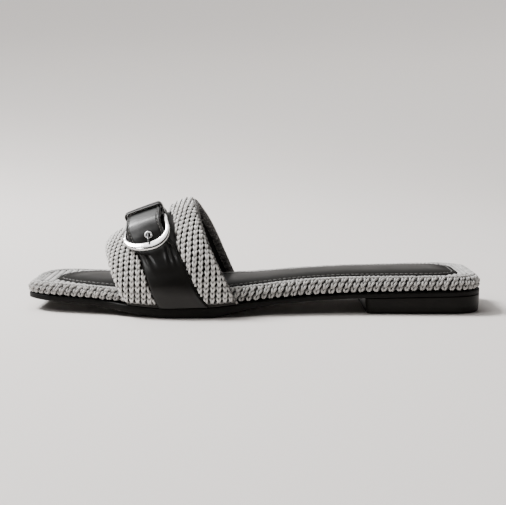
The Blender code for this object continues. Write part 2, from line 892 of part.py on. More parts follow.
def main():
    for old in list(bpy.data.objects):
        bpy.data.objects.remove(old)
    parts = bpy.data.collections.new(OBJECT_NAME)
    cutters = bpy.data.collections.new("cutters")
    for group in (parts, cutters):
        bpy.context.scene.collection.children.link(group)
    looks = {
        "rubber": material("outsole_rubber", (0.02, 0.018, 0.015), 0.0, 0.6),
        "heel": material("heel_rubber", (0.012, 0.011, 0.009), 0.0, 0.45),
        "knit": material("pale_knit", (0.62, 0.6, 0.57), 0.0, 0.85),
        "insole": material("insole_leather", (0.02, 0.02, 0.02), 0.0, 0.5),
        "strap": material("strap_leather", (0.01, 0.01, 0.009), 0.0, 0.4),
        "metal": material("buckle_metal", (0.8, 0.8, 0.8), 1.0, 0.15),
    }
    build_sole(parts, looks)
    build_footbed(parts, looks)
    build_insole(parts, looks)
    build_upper(parts, looks)
    build_straps(parts, cutters, looks)
    build_buckle(parts, looks)


main()
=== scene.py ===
"""Flat slide sandal for the left foot: its knit, leather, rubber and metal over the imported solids.

Lengths inside the shape functions are in millimetres, as in the tables below, and become
metres when a mesh is made. "along" runs from the toe's tip to the heel, "foot" is the place
along the sole where a line of the band starts, t runs over the band from the lateral sole
edge (-1) across the ridge (0) to the medial one (1), and height is taken off the lining.
"""

import math
from typing import NamedTuple

import bmesh
import bpy
import numpy as np
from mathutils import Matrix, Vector


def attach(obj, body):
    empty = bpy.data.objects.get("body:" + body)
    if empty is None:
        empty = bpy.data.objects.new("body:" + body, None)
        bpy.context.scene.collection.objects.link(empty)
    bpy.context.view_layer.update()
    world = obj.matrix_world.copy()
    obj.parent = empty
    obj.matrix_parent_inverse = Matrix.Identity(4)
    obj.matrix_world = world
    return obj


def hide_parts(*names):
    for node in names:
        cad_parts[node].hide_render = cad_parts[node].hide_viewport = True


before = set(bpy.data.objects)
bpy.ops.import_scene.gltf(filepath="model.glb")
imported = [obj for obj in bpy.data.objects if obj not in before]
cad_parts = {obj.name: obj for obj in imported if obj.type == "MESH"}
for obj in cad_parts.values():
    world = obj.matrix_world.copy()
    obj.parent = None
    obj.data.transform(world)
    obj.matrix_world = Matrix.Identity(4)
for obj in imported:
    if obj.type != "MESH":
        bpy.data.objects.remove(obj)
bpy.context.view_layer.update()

bl_info = {
    "name": "Flat slide sandal",
    "version": (1, 0, 0),
    "blender": (4, 5, 0),
    "location": "View3D > Sidebar > Sandal",
    "description": "Dresses the packed sandal in knit, leather, rubber and metal",
    "category": "Object",
}

MM = 0.001
TURN = 2 * math.pi
BODY = "root"
SEED = 11

# Overall sizes, and where along the shoe the outsole flares out beside the ball of the foot
LENGTH = 252.0
SIDE_SHIFT = -0.35
GAP = 0.3
FLARE_START = (44.0, 58.0)
FLARE_END = (116.0, 130.0)

# Insole: half its usual width, and how far in from its edge its sheen starts and is full
INSOLE_HALF = 25.0
INSOLE_WORN = (4.5, 16.0)

# Band over the foot: its arch, edges, wall, channel and lobes, and its binding front and rear
LEAN = 0.525
FOOT_LEVEL = 6.0
SPRING_LEVEL = 12.0
RIDGE = 4.0
ARCH_POWER = 1.72
ARCH_SHARE = 0.82
FRONT_FOOT = 58.3
REAR_FOOT = 120.6
FRONT_TUCK = 1.4
REAR_SPREAD = 1.4
REAR_TUCK = 4.0
REAR_LATERAL_TUCK = 2.9
REAR_PEAK = 0.6
LEG_WALL = 3.4
CROWN_WALL = 5.2
LINING_GAP = 1.0
CHANNEL_SHARE = 0.5
CHANNEL_SLACK = 0.4
BUCKLE_ROOM_TOE = 3.9
BUCKLE_ROOM_HEEL = 4.6
KEEPER_ROOM_CUT = 1.7
LOBE_OUTER = 0.3
LOBE_INNER = 0.9
LOBE_SQUARE = 3.4
LOBE_ROUND = 0.42
LINING_LEDGE = 1.0
BINDING_INSET = 0.2
BINDING_REACH = {"front": 0.45, "rear": 1.0}
BINDING_TALL = {"front": 0.75, "rear": 1.0}

# Strap, measured along it from the ridge (the lateral side is negative); a pair of places is
# where something starts or ends softly, or the stretch that it covers
STRAP_FOOT = 89.3
FOOT_TO_WIDTH = 0.885
STRAP_WIDE = 10.5
STRAP_FLARE = 2.0
STRAP_THICK = 1.6
STRAP_LEVEL = 4.0
STRAP_REST = 2.4 * GAP
STRAP_ZERO = 2.3
STRAP_FINE = -52.0
FREE_END = 23.0
FREE_ROUND = 9.0
FREE_BLUNT = 0.35
FREE_TILT = 1.4
FREE_TILT_START = (-27.0, -14.0)
FREE_TILT_END = (-4.0, 8.0)
HEM_START = (-43.0, -38.0)
TURN_RADIUS = 2.15
TURN_START = 1.5
BUCKLE_END_THICK = STRAP_THICK - 0.2
BUCKLE_END_TAPER = 0.11
STITCH_INSET = 1.6
STITCH_SINK = 0.12
STITCHED = (-37.0, -12.5)

# Ring, prong, eyelet and keeper
BAR_PLACE = -15.0
BAR_RADIUS = 1.15
TIP_PLACE = -38.7
BUCKLE_SHIFT = -2.0
BUCKLE_SHIFT_START = (-40.0, -31.0)
BUCKLE_SHIFT_END = (-26.0, -12.0)
KEEPER_SHIFT = 0.6
KEEPER_SHIFT_END = (0.0, 14.0)
FRAME_HALF = 11.6
FRAME_TURN = -0.0844
FRAME_ACROSS = -0.6
FRAME_THICK = 2.4
FRAME_SIDE = 2.1
FRAME_TIP = 5.0
FRAME_LEVEL = 7.5
FRAME_TIP_LEVEL = 8.0
FRAME_SQUARE = 0.62
EYELET_PLACE = -30.0
EYELET_ACROSS = 0.8
PRONG_SLANT = 0.17
PRONG_ASIDE = (-28.0, -20.0)
PRONG_RADIUS = 0.55
KEEPER_START = -11.6
KEEPER_END = -4.6
KEEPER_THICK = 1.0
KEEPER_CORNER = 1.4
KEEPER_SLACK = 0.4
KEEPER_FLAT = 0.35
KEEPER_TALL = 0.5

# Loops of the knit, in stitches: their reach into the next course, the swing and pinch of their
# legs, and how slack they lie
LOOP_REACH = 0.67
LOOP_SWING = 0.19
LOOP_PINCH = 0.08
SLACK_ACROSS = 0.022
SLACK_UP = 0.04
SLACK_HEIGHT = 0.12

# Knit on the band's lobes: sink, hem and backing in yarn radii, the fan of the wales in
# millimetres, the margin at the sole in courses and the trims in shares of a lobe's girth
LOBE_SINK = 0.2
LOBE_HEM = 0.8
LOBE_BACKING = 0.5
LOBE_FAN = 6.0
LOBE_MARGIN = 1.6
LOBE_TRIMS = {"front": (0.02, 0.93), "rear": (0.07, 0.95)}

# Knit on the footbed: its rim, the roll on the rim and the flats of the toe and heel; yarns are
# in shares of the band's yarn, girths and the apex in shares of the rim's girth
RIM_ROWS = 4
RIM_SLACK = 2.2
# The rim's yarn is the band's own yarn darkened to this share as painted shade, for the rim lying low
# beside the sole
RIM_PAINTED_SHADE = 0.64
RIM_YARN = 1.15
RIM_BACKING = 0.2
RIM_BEND = 7.0
RIM_APEX = 0.16
RIM_APEX_ROUND = 0.002
RIM_PROUD = 0.45
RIM_SETTLE = 0.25
RIM_TUCK = 0.9
ROLL_YARN = 1.25
ROLL_GIRTHS = (0.72, 0.78, 0.84)
ROLL_BEAD = 2.3
ROLL_SWAY = 0.012
ROLL_INSET = 6.2
FLATS = ((6.0, 34.0), (236.0, 246.0))
FLAT_REACH = 23 * math.pi
FLAT_WALE = 0.9
FLAT_DUCK = 1.8
FLAT_HIDDEN = 2.5

# Yarn wound round the band's rear edge
# The wound yarn is the band's yarn darkened to this share as painted shade, for the edge in the
# band's own shadow
EDGE_PAINTED_SHADE = 0.4
EDGE_YARN = 1.5
EDGE_END = 0.985
EDGE_INSET = 1.0
EDGE_REACH = 1.45
EDGE_LEVEL = 0.35
EDGE_RISE = 0.62


class Station(NamedTuple):
    """One row of the sole: half widths, underside height, outsole thickness, rim height."""
    along: float
    lateral: float
    medial: float
    bottom: float
    thick: float
    rim: float


STATIONS = (
    Station(0, 20.0, 39.0, 6.9, 2.6, 6.3),
    Station(15, 22.8, 40.0, 6.0, 3.0, 6.7),
    Station(30, 26.8, 40.8, 5.1, 3.3, 6.8),
    Station(46, 31.2, 41.4, 3.8, 3.7, 7.0),
    Station(65, 37.0, 41.4, 1.6, 4.4, 7.6),
    Station(82, 40.5, 40.4, 0.0, 5.4, 8.0),
    Station(102, 39.8, 36.6, 0.0, 5.7, 8.1),
    Station(117, 37.0, 31.6, 2.6, 4.3, 8.3),
    Station(135, 33.4, 27.6, 5.3, 3.0, 8.6),
    Station(155, 30.8, 26.2, 7.1, 2.7, 8.9),
    Station(175, 30.0, 27.2, 8.2, 2.7, 8.8),
    Station(195, 30.2, 29.0, 8.9, 2.7, 8.4),
    Station(215, 30.8, 30.6, 9.4, 2.7, 8.2),
    Station(235, 30.8, 30.8, 9.8, 2.7, 8.0),
    Station(252, 30.2, 30.2, 10.0, 2.7, 7.8),
)


class Tier(NamedTuple):
    """One ring of the outsole or heel block: inset, and height as a rise and a share of the whole."""
    inset: float
    rise: float
    share: float


OUTSOLE_TIERS = (
    Tier(1.6, 0.0, 0.0),
    Tier(0.5, 0.0, 0.0),
    Tier(0.15, 0.04, 0.0),
    Tier(0.03, 0.2, 0.0),
    Tier(0.0, 0.8, 0.0),
    Tier(0.0, 0.4, 0.4),
    Tier(0.0, -0.55, 1.0),
    Tier(0.12, -0.22, 1.0),
    Tier(0.4, -0.04, 1.0),
    Tier(1.2, 0.0, 1.0),
)
HEEL_TIERS = (
    Tier(1.9, 0.0, 0.0),
    Tier(1.1, 0.06, 0.0),
    Tier(0.75, 0.3, 0.0),
    Tier(0.55, 0.8, 0.0),
    Tier(0.42, 1.5, 0.0),
    Tier(0.2, 0.0, 0.5),
    Tier(0.02, -0.3, 1.0),
    Tier(0.04, -0.08, 1.0),
    Tier(0.3, 0.0, 1.0),
)


class Hoop(NamedTuple):
    """Inner crown height of the band over one place along its foot."""
    foot: float
    crown: float


HOOPS = (
    Hoop(45, 26.0),
    Hoop(57.5, 31.8),
    Hoop(73, 39.4),
    Hoop(89, 45.8),
    Hoop(105, 51.6),
    Hoop(121, 57.6),
    Hoop(133, 62.0),
)


class Lift(NamedTuple):
    """How far the strap's free end is lifted off the band's channel."""
    place: float
    lift: float


LIFTS = (
    Lift(-200, 0.0),
    Lift(-43, 0.0),
    Lift(-38, 0.2),
    Lift(-34.5, 0.8),
    Lift(-31.8, 1.9),
    Lift(-28, 3.8),
    Lift(-24, 5.3),
    Lift(-20.5, 6.0),
    Lift(-12, 6.0),
    Lift(-6, 5.4),
    Lift(2, 3.4),
    Lift(10, 2.1),
    Lift(40, 2.1),
)


class Girth(NamedTuple):
    """The knit rim from its underside (0) over the edge to the insole (1)."""
    place: float
    inset: float
    share: float


GIRTHS = (
    Girth(0.0, 2.4, -0.03),
    Girth(0.1, 1.0, 0.08),
    Girth(0.24, 0.2, 0.28),
    Girth(0.38, 0.0, 0.5),
    Girth(0.51, 0.5, 0.71),
    Girth(0.65, 2.0, 0.89),
    Girth(0.8, 4.4, 0.985),
    Girth(1.0, 7.8, 1.0),
)


class Wave(NamedTuple):
    """A measure of the roll's yarns: its level and how it follows their slow sway and quick beat."""
    level: float
    sway: float
    beat: float

    def read(self, sway, beat):
        return self.level + self.sway * sway + self.beat * beat


ROLL_HEIGHT = Wave(0.95, 0.12, 0.2)
# The roll's painted shade: its yarn's colour share follows the beads, darker in the dips between them
ROLL_PAINTED_SHADE = Wave(0.66, 0.08, 0.3)


class Padding(NamedTuple):
    """One ring of the insole: squeeze towards its middle, height over the rim's top."""
    squeeze: float
    rise: float


INSOLE_RINGS = (
    Padding(0.0, -2.7),
    Padding(0.0, -0.75),
    Padding(0.15, -0.4),
    Padding(0.6, -0.1),
    Padding(1.3, 0.14),
    Padding(2.2, 0.3),
    Padding(2.75, 0.22),
    Padding(3.2, 0.12),
    Padding(3.65, 0.26),
    Padding(4.3, 0.46),
    Padding(6.0, 0.7),
    Padding(9.0, 1.0),
    Padding(12.0, 1.22),
    Padding(15.0, 1.38),
    Padding(18.0, 1.47),
    Padding(21.0, 1.5),
)
STITCH_RING = 3.2
STITCH_RISE = 0.1
STITCH_FILL = 0.41


class Fold(NamedTuple):
    """One point round the band's binding: how far outside the edge, height in shares of the wall."""
    away: float
    high: float


BINDING = (
    Fold(0.1, 0.62),
    Fold(0.75, 0.52),
    Fold(1.1, 0.3),
    Fold(0.9, 0.05),
    Fold(0.2, -0.12),
    Fold(-1.2, -0.13),
    Fold(-3.2, -0.1),
    Fold(-3.2, 0.02),
    Fold(-0.8, 0.1),
    Fold(-0.5, 0.4),
)


class Corner(NamedTuple):
    """One point of the strap's rounded edge, in shares of its half width and half thickness."""
    across: float
    side: float


STRAP_CORNER = (
    Corner(-1.0, -0.25),
    Corner(-1.0, 0.25),
    Corner(-0.985, 0.62),
    Corner(-0.95, 0.9),
    Corner(-0.9, 1.0),
)


class Ridge(NamedTuple):
    """A ridge or groove along the strap's edge: its inset, its width and how far it stands up."""
    inset: float
    wide: float
    rise: float


HEM = (
    Ridge(0.75, 0.5, 0.28),
    Ridge(STITCH_INSET, 0.35, -0.24),
)


class Lip(NamedTuple):
    """One point of the eyelet's section: its radius and its height over the strap."""
    radius: float
    height: float


EYELET_LIPS = (
    Lip(1.2, -1.6),
    Lip(1.45, -1.6),
    Lip(1.45, 0.0),
    Lip(2.15, 0.02),
    Lip(2.2, 0.22),
    Lip(2.1, 0.42),
    Lip(1.9, 0.5),
    Lip(1.55, 0.5),
    Lip(1.34, 0.42),
    Lip(1.22, 0.2),
)


class Shank(NamedTuple):
    """One point of the ring's side: its share of the way to the bar and how it narrows there."""
    share: float
    narrow: float


SHANKS = (
    Shank(0.25, 1.0),
    Shank(0.45, 1.0),
    Shank(0.65, 0.995),
    Shank(0.85, 0.97),
)
BAR_SPOTS = (-10.0, -5.0, 0.0, 5.0, 10.0)


class Pleat(NamedTuple):
    """A soft fold in the strap: its middle, its reach, its slant and how far it stands up."""
    place: float
    across: float
    long: float
    wide: float
    slant: float
    rise: float


PLEATS = (
    Pleat(-37.0, 8.4, 8.0, 0.6, 0.02, 0.96),
    Pleat(-39.0, 7.2, 7.0, 0.55, 0.05, -0.64),
    Pleat(-42.0, 6.0, 5.5, 0.8, 0.07, 0.8),
    Pleat(-43.0, 4.6, 5.0, 0.7, 0.1, -0.45),
    Pleat(-44.0, 3.2, 4.5, 0.9, 0.13, 0.38),
    Pleat(-46.0, -6.6, 5.0, 0.9, -0.1, 0.48),
    Pleat(-45.0, -4.8, 4.2, 0.8, -0.14, -0.4),
    Pleat(-62.0, 0.0, 3.2, 7.5, 0.0, 0.22),
    Pleat(-55.0, 0.5, 2.4, 8.0, 0.0, -0.22),
    Pleat(-30.0, -3.0, 2.6, 5.0, 0.3, 0.19),
    Pleat(-26.0, 3.5, 2.2, 4.5, -0.2, -0.16),
)


class Outline(NamedTuple):
    """A plan outline: its ends, its inset from the stations and how its ends are rounded."""
    toe: float
    heel: float
    inset: float
    flare: float
    toe_round: float
    toe_flat: float
    heel_round: float
    heel_flat: float


RIM = Outline(0.0, LENGTH, 0.0, 0.0, 17.0, 0.42, 17.0, 0.5)
OUTSOLE = Outline(0.4, LENGTH + 0.1, 0.0, 3.0, 17.0, 0.42, 17.0, 0.5)
INSOLE = Outline(14.9, LENGTH - 11.0, 8.4, 0.0, 21.0, 0.2, 13.0, 0.46)
HEEL = Outline(187.5, LENGTH + 0.1, -0.1, 0.0, 4.0, 0.88, 17.0, 0.5)
ROLL = RIM._replace(toe=ROLL_INSET, heel=LENGTH - ROLL_INSET, inset=ROLL_INSET)


class Lamp(NamedTuple):
    """An area light aimed at the sandal, in metres; the stage setting of its name is its power."""
    name: str
    size: float
    place: tuple


LAMPS = (
    Lamp("key", 0.55, (-1.05, 0.4, 1.35)),
    Lamp("fill", 0.25, (-0.9, -0.5, 0.85)),
    Lamp("ceiling", 1.8, (-0.55, 0.6, 1.45)),
)

# Room light: the way it comes from, its tint, and its tones away from that way and along it
ROOM_WAY = (-0.2, 0.42, 0.885)
ROOM_TINT = (1.0, 0.985, 0.97)
ROOM_TONES = ((0.5, 0.05), (0.97, 1.0))

# Floor in metres: its level rings, where it starts to rise, how it bends, its outer end, its glow
FLOOR_RINGS = (0.2, 0.5)
FLOOR_FLAT = 0.8
FLOOR_BEND = 6.0
FLOOR_ANGLE = math.radians(14)
FLOOR_END = (8.3, 1.7)
GLOW_REACH = (0.4, 2.8)
GLOW_SIDE = (-2.0, 0.3)
GLOW_FRONT = 0.35

# Camera: its sensor's width in millimetres and how far it stands aside in metres
SENSOR = 36.0
CAMERA_SIDE = 0.00015


# Settings


class SandalKnit(bpy.types.PropertyGroup):
    """Sizes and colours of the knit."""
    yarn: bpy.props.FloatProperty(
        name="Yarn radius", description="Half the yarn's thickness", default=0.00053, unit="LENGTH")
    course: bpy.props.FloatProperty(
        name="Course", description="Height of one stitch", default=0.0033, unit="LENGTH")
    wale: bpy.props.FloatProperty(
        name="Wale", description="Width of one stitch on the band", default=0.0032, unit="LENGTH")
    rim_wale: bpy.props.FloatProperty(
        name="Rim wale", description="Width of one stitch on the rim", default=0.0041,
        unit="LENGTH")
    relief: bpy.props.FloatProperty(
        name="Relief", description="How far the loops weave in and out", default=0.00085,
        unit="LENGTH")
    colour: bpy.props.FloatVectorProperty(
        name="Yarn colour", description="Pale grey yarn", default=(0.55, 0.536, 0.518), size=3,
        subtype="COLOR")
    # The backing's colour is the cloth's own dark colour and painted shade for the holes between the
    # loops
    shaded_backing: bpy.props.FloatVectorProperty(
        name="Backing colour", description="Dark cloth between the loops",
        default=(0.014, 0.0125, 0.011), size=3, subtype="COLOR")


class SandalLeather(bpy.types.PropertyGroup):
    """Sizes and colours of the leather."""
    strap: bpy.props.FloatVectorProperty(
        name="Strap colour", description="Smooth black leather", default=(0.006, 0.0056, 0.005),
        size=3, subtype="COLOR")
    insole: bpy.props.FloatVectorProperty(
        name="Insole colour", description="Soft black leather", default=(0.0105, 0.01, 0.0092),
        size=3, subtype="COLOR")
    lining: bpy.props.FloatVectorProperty(
        name="Lining colour", description="Black lining of the band", default=(0.011, 0.0103, 0.0095),
        size=3, subtype="COLOR")
    binding: bpy.props.FloatVectorProperty(
        name="Binding colour", description="Dark grey edge of the band", default=(0.24, 0.23, 0.22),
        size=3, subtype="COLOR")
    seam: bpy.props.FloatVectorProperty(
        name="Seam colour", description="Grey thread of the insole", default=(0.15, 0.145, 0.14),
        size=3, subtype="COLOR")
    stitch: bpy.props.FloatProperty(
        name="Stitch", description="Length from one stitch to the next", default=0.0027,
        unit="LENGTH")
    thread: bpy.props.FloatProperty(
        name="Thread", description="Half the thread's thickness", default=0.00024, unit="LENGTH")


class SandalSole(bpy.types.PropertyGroup):
    """Colours of the sole."""
    rubber: bpy.props.FloatVectorProperty(
        name="Outsole colour", description="Dark rubber", default=(0.0042, 0.0039, 0.0034), size=3,
        subtype="COLOR")
    heel: bpy.props.FloatVectorProperty(
        name="Heel colour", description="Black stacked heel", default=(0.006, 0.0056, 0.0048), size=3,
        subtype="COLOR")


class SandalMetal(bpy.types.PropertyGroup):
    """Finish of the ring, prong and eyelet."""
    colour: bpy.props.FloatVectorProperty(
        name="Metal colour", description="Polished nickel", default=(0.86, 0.85, 0.84), size=3,
        subtype="COLOR")
    polish: bpy.props.FloatProperty(
        name="Roughness", description="Roughness of the polish", default=0.16, subtype="FACTOR")


class SandalStage(bpy.types.PropertyGroup):
    """Floor, lights and camera."""
    floor: bpy.props.FloatVectorProperty(
        name="Floor colour", description="Pale studio floor", default=(0.675, 0.637, 0.608), size=3,
        subtype="COLOR")
    key: bpy.props.FloatProperty(
        name="Key light", description="Power of the main light, high up behind the toe",
        default=72.0, unit="POWER")
    fill: bpy.props.FloatProperty(
        name="Fill light", description="Power of the small light that shows the strap's folds",
        default=4.0, unit="POWER")
    ceiling: bpy.props.FloatProperty(
        name="Ceiling light", description="Power of the large light overhead", default=24.0,
        unit="POWER")
    glow: bpy.props.FloatProperty(
        name="Backdrop glow", description="Light given off where the floor rises", default=1.02)
    sky: bpy.props.FloatProperty(
        name="Room light", description="Strength of the even light from above", default=0.5)
    distance: bpy.props.FloatProperty(
        name="Camera distance", description="From the sandal's middle line", default=0.615,
        unit="LENGTH")
    height: bpy.props.FloatProperty(
        name="Camera height", description="Over the floor", default=0.106, unit="LENGTH")
    pitch: bpy.props.FloatProperty(
        name="Camera pitch", description="Below the horizon", default=math.radians(7.03),
        subtype="ANGLE")
    lens: bpy.props.FloatProperty(
        name="Lens", description="Focal length in millimetres on a 36 mm sensor", default=77.41)


# Reading the tables


def glide(rows, name, at):
    """Read a table's named column between its rows, smoothly and without overshoot."""
    places = np.array([row[0] for row in rows], float)
    values = np.array([getattr(row, name) for row in rows], float)
    at = np.clip(np.asarray(at, float), places[0], places[-1])
    span = np.diff(places)
    rate = np.diff(values) / span
    before, after = rate[:-1], rate[1:]
    level = before * after <= 0
    inner = np.where(level, 0.0, 2 * before * after / np.where(level, 1.0, before + after))
    slope = np.concatenate((rate[:1], inner, rate[-1:]))
    i = np.clip(np.searchsorted(places, at) - 1, 0, len(span) - 1)
    t = (at - places[i]) / span[i]
    start = (1 + 2 * t) * (1 - t) ** 2 * values[i] + t * (1 - t) ** 2 * span[i] * slope[i]
    finish = t * t * (3 - 2 * t) * values[i + 1] + t * t * (t - 1) * span[i] * slope[i + 1]
    return start + finish


def smooth(low, high, at):
    """Go from 0 to 1 between two places with level ends."""
    t = np.clip((np.asarray(at, float) - low) / (high - low), 0.0, 1.0)
    return t * t * (3 - 2 * t)


def sole_bottom(along):
    return glide(STATIONS, "bottom", along)


def sole_thick(along):
    return glide(STATIONS, "thick", along)


def sole_top(along):
    return sole_bottom(along) + sole_thick(along)


def heel_thick(along):
    return sole_bottom(along) - GAP


def rim_top(along):
    return sole_top(along) + GAP + glide(STATIONS, "rim", along)


def unit(vectors):
    """Vectors of the same directions, each one long."""
    return vectors / np.maximum(np.linalg.norm(vectors, axis=-1, keepdims=True), 1e-9)


# Plan outlines


def rounded_end(part, flat):
    """Share of the full width near an end: flat at the end itself, round up to part 1."""
    part = np.clip(part, 0.0, 1.0)
    return flat + (1 - flat) * np.sqrt(1 - (1 - part) ** 2)


def edge(outline, sign, along):
    """Half width of an outline on the lateral (-1) or medial (1) side, with its ends rounded."""
    along = np.asarray(along, float)
    flare = smooth(*FLARE_START, along) * (1 - smooth(*FLARE_END, along))
    lateral = glide(STATIONS, "lateral", along)
    wide = np.where(np.asarray(sign) < 0, lateral, glide(STATIONS, "medial", along))
    wide = wide - outline.inset + outline.flare * flare
    toe = rounded_end((along - outline.toe) / outline.toe_round, outline.toe_flat)
    heel = rounded_end((outline.heel - along) / outline.heel_round, outline.heel_flat)
    return wide * toe * heel


def run_lengths(points):
    """Length of a polyline up to each of its points."""
    steps = np.linalg.norm(np.diff(points, axis=0), axis=1)
    return np.concatenate(([0.0], np.cumsum(steps)))


def even(points, count):
    """Spread a number of points evenly along a polyline."""
    lengths = run_lengths(points)
    goals = np.linspace(0, lengths[-1], count)
    return np.stack([np.interp(goals, lengths, points[:, k]) for k in range(points.shape[1])], 1)


def side_path(outline, sign, count):
    """Evenly spaced plan points from the middle of the toe to the middle of the heel."""
    turns = 1 - np.cos(np.linspace(0, math.pi / 2, 40))
    ends = (outline.toe + outline.toe_round, outline.heel - outline.heel_round)
    places = np.concatenate((
        outline.toe + outline.toe_round * turns,
        np.linspace(*ends, 160)[1:-1],
        outline.heel - outline.heel_round * turns[::-1],
    ))
    points = np.stack((places, sign * edge(outline, sign, places)), 1)

    def middle(place):
        return (place, (edge(outline, 1, place) - edge(outline, -1, place)) / 2)

    points = np.concatenate(([middle(outline.toe)], points, [middle(outline.heel)]))
    return even(points, count)


class Loop:
    """A closed plan outline that can be read by distance round it, from the toe's middle."""

    def __init__(self, outline, count=1200, span=6):
        lateral = side_path(outline, -1, count // 2)
        medial = side_path(outline, 1, count // 2)[::-1]
        ring = even(np.concatenate((lateral, medial)), count + 1)
        self.points = ring
        self.length = float(np.linalg.norm(np.diff(ring, axis=0), axis=1).sum())
        runs = unit(np.roll(ring[:-1], -span, 0) - np.roll(ring[:-1], span, 0))
        inward = np.stack((-runs[:, 1], runs[:, 0]), 1)
        self.inward = np.concatenate((inward, inward[:1]))
        self.places = np.linspace(0, self.length, count + 1)

    def read(self, rows, place):
        """The ring's points or inward directions at distances round the outline."""
        place = np.mod(place, self.length)
        return np.stack([np.interp(place, self.places, rows[:, k]) for k in range(2)], -1)

    def at(self, place, inset=0.0):
        """Plan points at distances round the outline, set in from it."""
        inward = unit(self.read(self.inward, place))
        return self.read(self.points, place) + inward * np.asarray(inset)[..., None]


def plan_rings(outline, tiers, under, thick, count):
    """Rings of an outline, one for each tier; under gives the underside, thick the thickness."""
    loop = Loop(outline)
    places = np.linspace(0, loop.length, count, endpoint=False)
    rings = []
    for tier in tiers:
        plan = loop.at(places, np.full(count, tier.inset))
        along = plan[:, 0]
        level = under(along) + tier.rise + tier.share * thick(along)
        rings.append(np.column_stack((plan, level)))
    return np.array(rings)


# The band's own surface


def lining(foot, t):
    """Points of the band's inner face: an arch over the foot that stands on two short legs."""
    foot, t = np.broadcast_arrays(np.asarray(foot, float), np.asarray(t, float))
    sign = np.where(t < 0, -1.0, 1.0)
    turn = np.minimum(np.abs(t) / ARCH_SHARE, 1.0) * math.pi / 2
    sweep = np.sin(turn)
    rise = np.maximum(np.cos(turn), 0.0) ** (2 / ARCH_POWER)
    reach = edge(RIM, sign, foot - LEAN * (SPRING_LEVEL - FOOT_LEVEL)) + LINING_GAP
    arch = np.abs(t) <= ARCH_SHARE
    high = SPRING_LEVEL + (glide(HOOPS, "crown", foot) - SPRING_LEVEL) * rise
    down = np.clip((np.abs(t) - ARCH_SHARE) / (1 - ARCH_SHARE), 0.0, 1.0)
    low = SPRING_LEVEL + (sole_top(foot) + GAP - SPRING_LEVEL) * down
    z = np.where(arch, high, low)
    along = foot - LEAN * (z - FOOT_LEVEL)
    leg = sign * (edge(RIM, sign, along) + LINING_GAP)
    y = np.where(arch, RIDGE + (sign * reach - RIDGE) * sweep, leg)
    return np.stack((along, y, z), -1)


def on_upper(foot, t, height, step=0.5, part=0.012):
    """Points a given height outside the lining; step and part are how far its slope is read."""
    foot, t, height = np.broadcast_arrays(
        np.asarray(foot, float), np.asarray(t, float), np.asarray(height, float))
    across = lining(foot + step, t) - lining(foot - step, t)
    over = lining(foot, np.minimum(t + part, 1.0)) - lining(foot, np.maximum(t - part, -1.0))
    return lining(foot, t) + unit(np.cross(across, over)) * height[..., None]


def wall(t):
    """Thickness of the band, thin on its legs and padded over its crown."""
    rise = np.cos(np.minimum(np.abs(t) / ARCH_SHARE, 1.0) * math.pi / 2)
    return LEG_WALL + (CROWN_WALL - LEG_WALL) * rise


def strap_sides(t):
    """How far the strap reaches towards the toe and the heel, measured along the foot."""
    toe = STRAP_WIDE + STRAP_FLARE * smooth(0.45, 0.9, np.abs(t))
    heel = STRAP_WIDE + STRAP_FLARE * smooth(0.72, 1.0, np.abs(t))
    return toe, heel


def strap_half(t):
    toe, heel = strap_sides(t)
    return (toe + heel) / 2


def strap_lean(t):
    toe, heel = strap_sides(t)
    return (heel - toe) / 2


def channel_edges(t):
    """Front and rear edge of the band's channel, wider round the buckle."""
    toe, heel = strap_sides(t)
    past = 1 - smooth(0.1, 0.3, t)
    toe = toe + CHANNEL_SLACK + BUCKLE_ROOM_TOE * smooth(-0.46, -0.3, t) * past
    room = BUCKLE_ROOM_HEEL * smooth(-0.5, -0.22, t) - KEEPER_ROOM_CUT * smooth(-0.165, -0.1, t)
    heel = heel + CHANNEL_SLACK + room * past
    return STRAP_FOOT - toe, STRAP_FOOT + heel


def channel_floor(t):
    return wall(t) * (1 - CHANNEL_SHARE)


def front_foot(t):
    return FRONT_FOOT + FRONT_TUCK * smooth(0.88, 1.0, np.abs(t))


def rear_foot(t):
    medial = REAR_SPREAD * smooth(0.0, 0.5, t) - REAR_TUCK * smooth(0.25, 0.85, t)
    peak = REAR_PEAK * (1 - smooth(0.04, 0.3, np.abs(t)))
    return REAR_FOOT + peak + medial - REAR_LATERAL_TUCK * smooth(0.12, 0.6, -np.asarray(t))


def lobe_edges(lobe, t):
    """Front and rear edge of one padded lobe of the band."""
    channel_front, channel_rear = channel_edges(t)
    if lobe == "front":
        return front_foot(t), channel_front
    return channel_rear, rear_foot(t)


def lobe_section(lobe, t, part, drop=0.0):
    """Foot and height of a point on a lobe's rounded section, part 0 at its front edge."""
    start, end = lobe_edges(lobe, t)
    thick = wall(t)
    outer, inner = LOBE_OUTER * thick, channel_floor(t) * LOBE_INNER
    low = outer + (inner - outer) * (part if lobe == "front" else 1 - part)
    crown = (1 - np.abs(2 * part - 1) ** LOBE_SQUARE) ** LOBE_ROUND
    return start + (end - start) * part, low + (thick - drop - low) * crown


def section_parts(count, probes=400):
    """Parts across a lobe that are evenly spaced on its rounded surface."""
    parts = np.linspace(0, 1, probes)
    foot, height = lobe_section("rear", np.zeros(probes), parts)
    lengths = run_lengths(np.stack((foot * FOOT_TO_WIDTH, height), 1))
    return np.interp(np.linspace(0, lengths[-1], count), lengths, parts)


PARTS = section_parts(200)


# The strap's own measure


def strap_measure(half=200):
    """Places along the strap and the t of each, with the ridge half way through the list."""
    ts = np.linspace(-1, 1, 2 * half + 1)
    places = run_lengths(on_upper(STRAP_FOOT, ts, STRAP_LEVEL))
    return places - places[half] + STRAP_ZERO, ts


MEASURE = strap_measure()


def strap_t(place):
    return np.interp(place, *MEASURE)


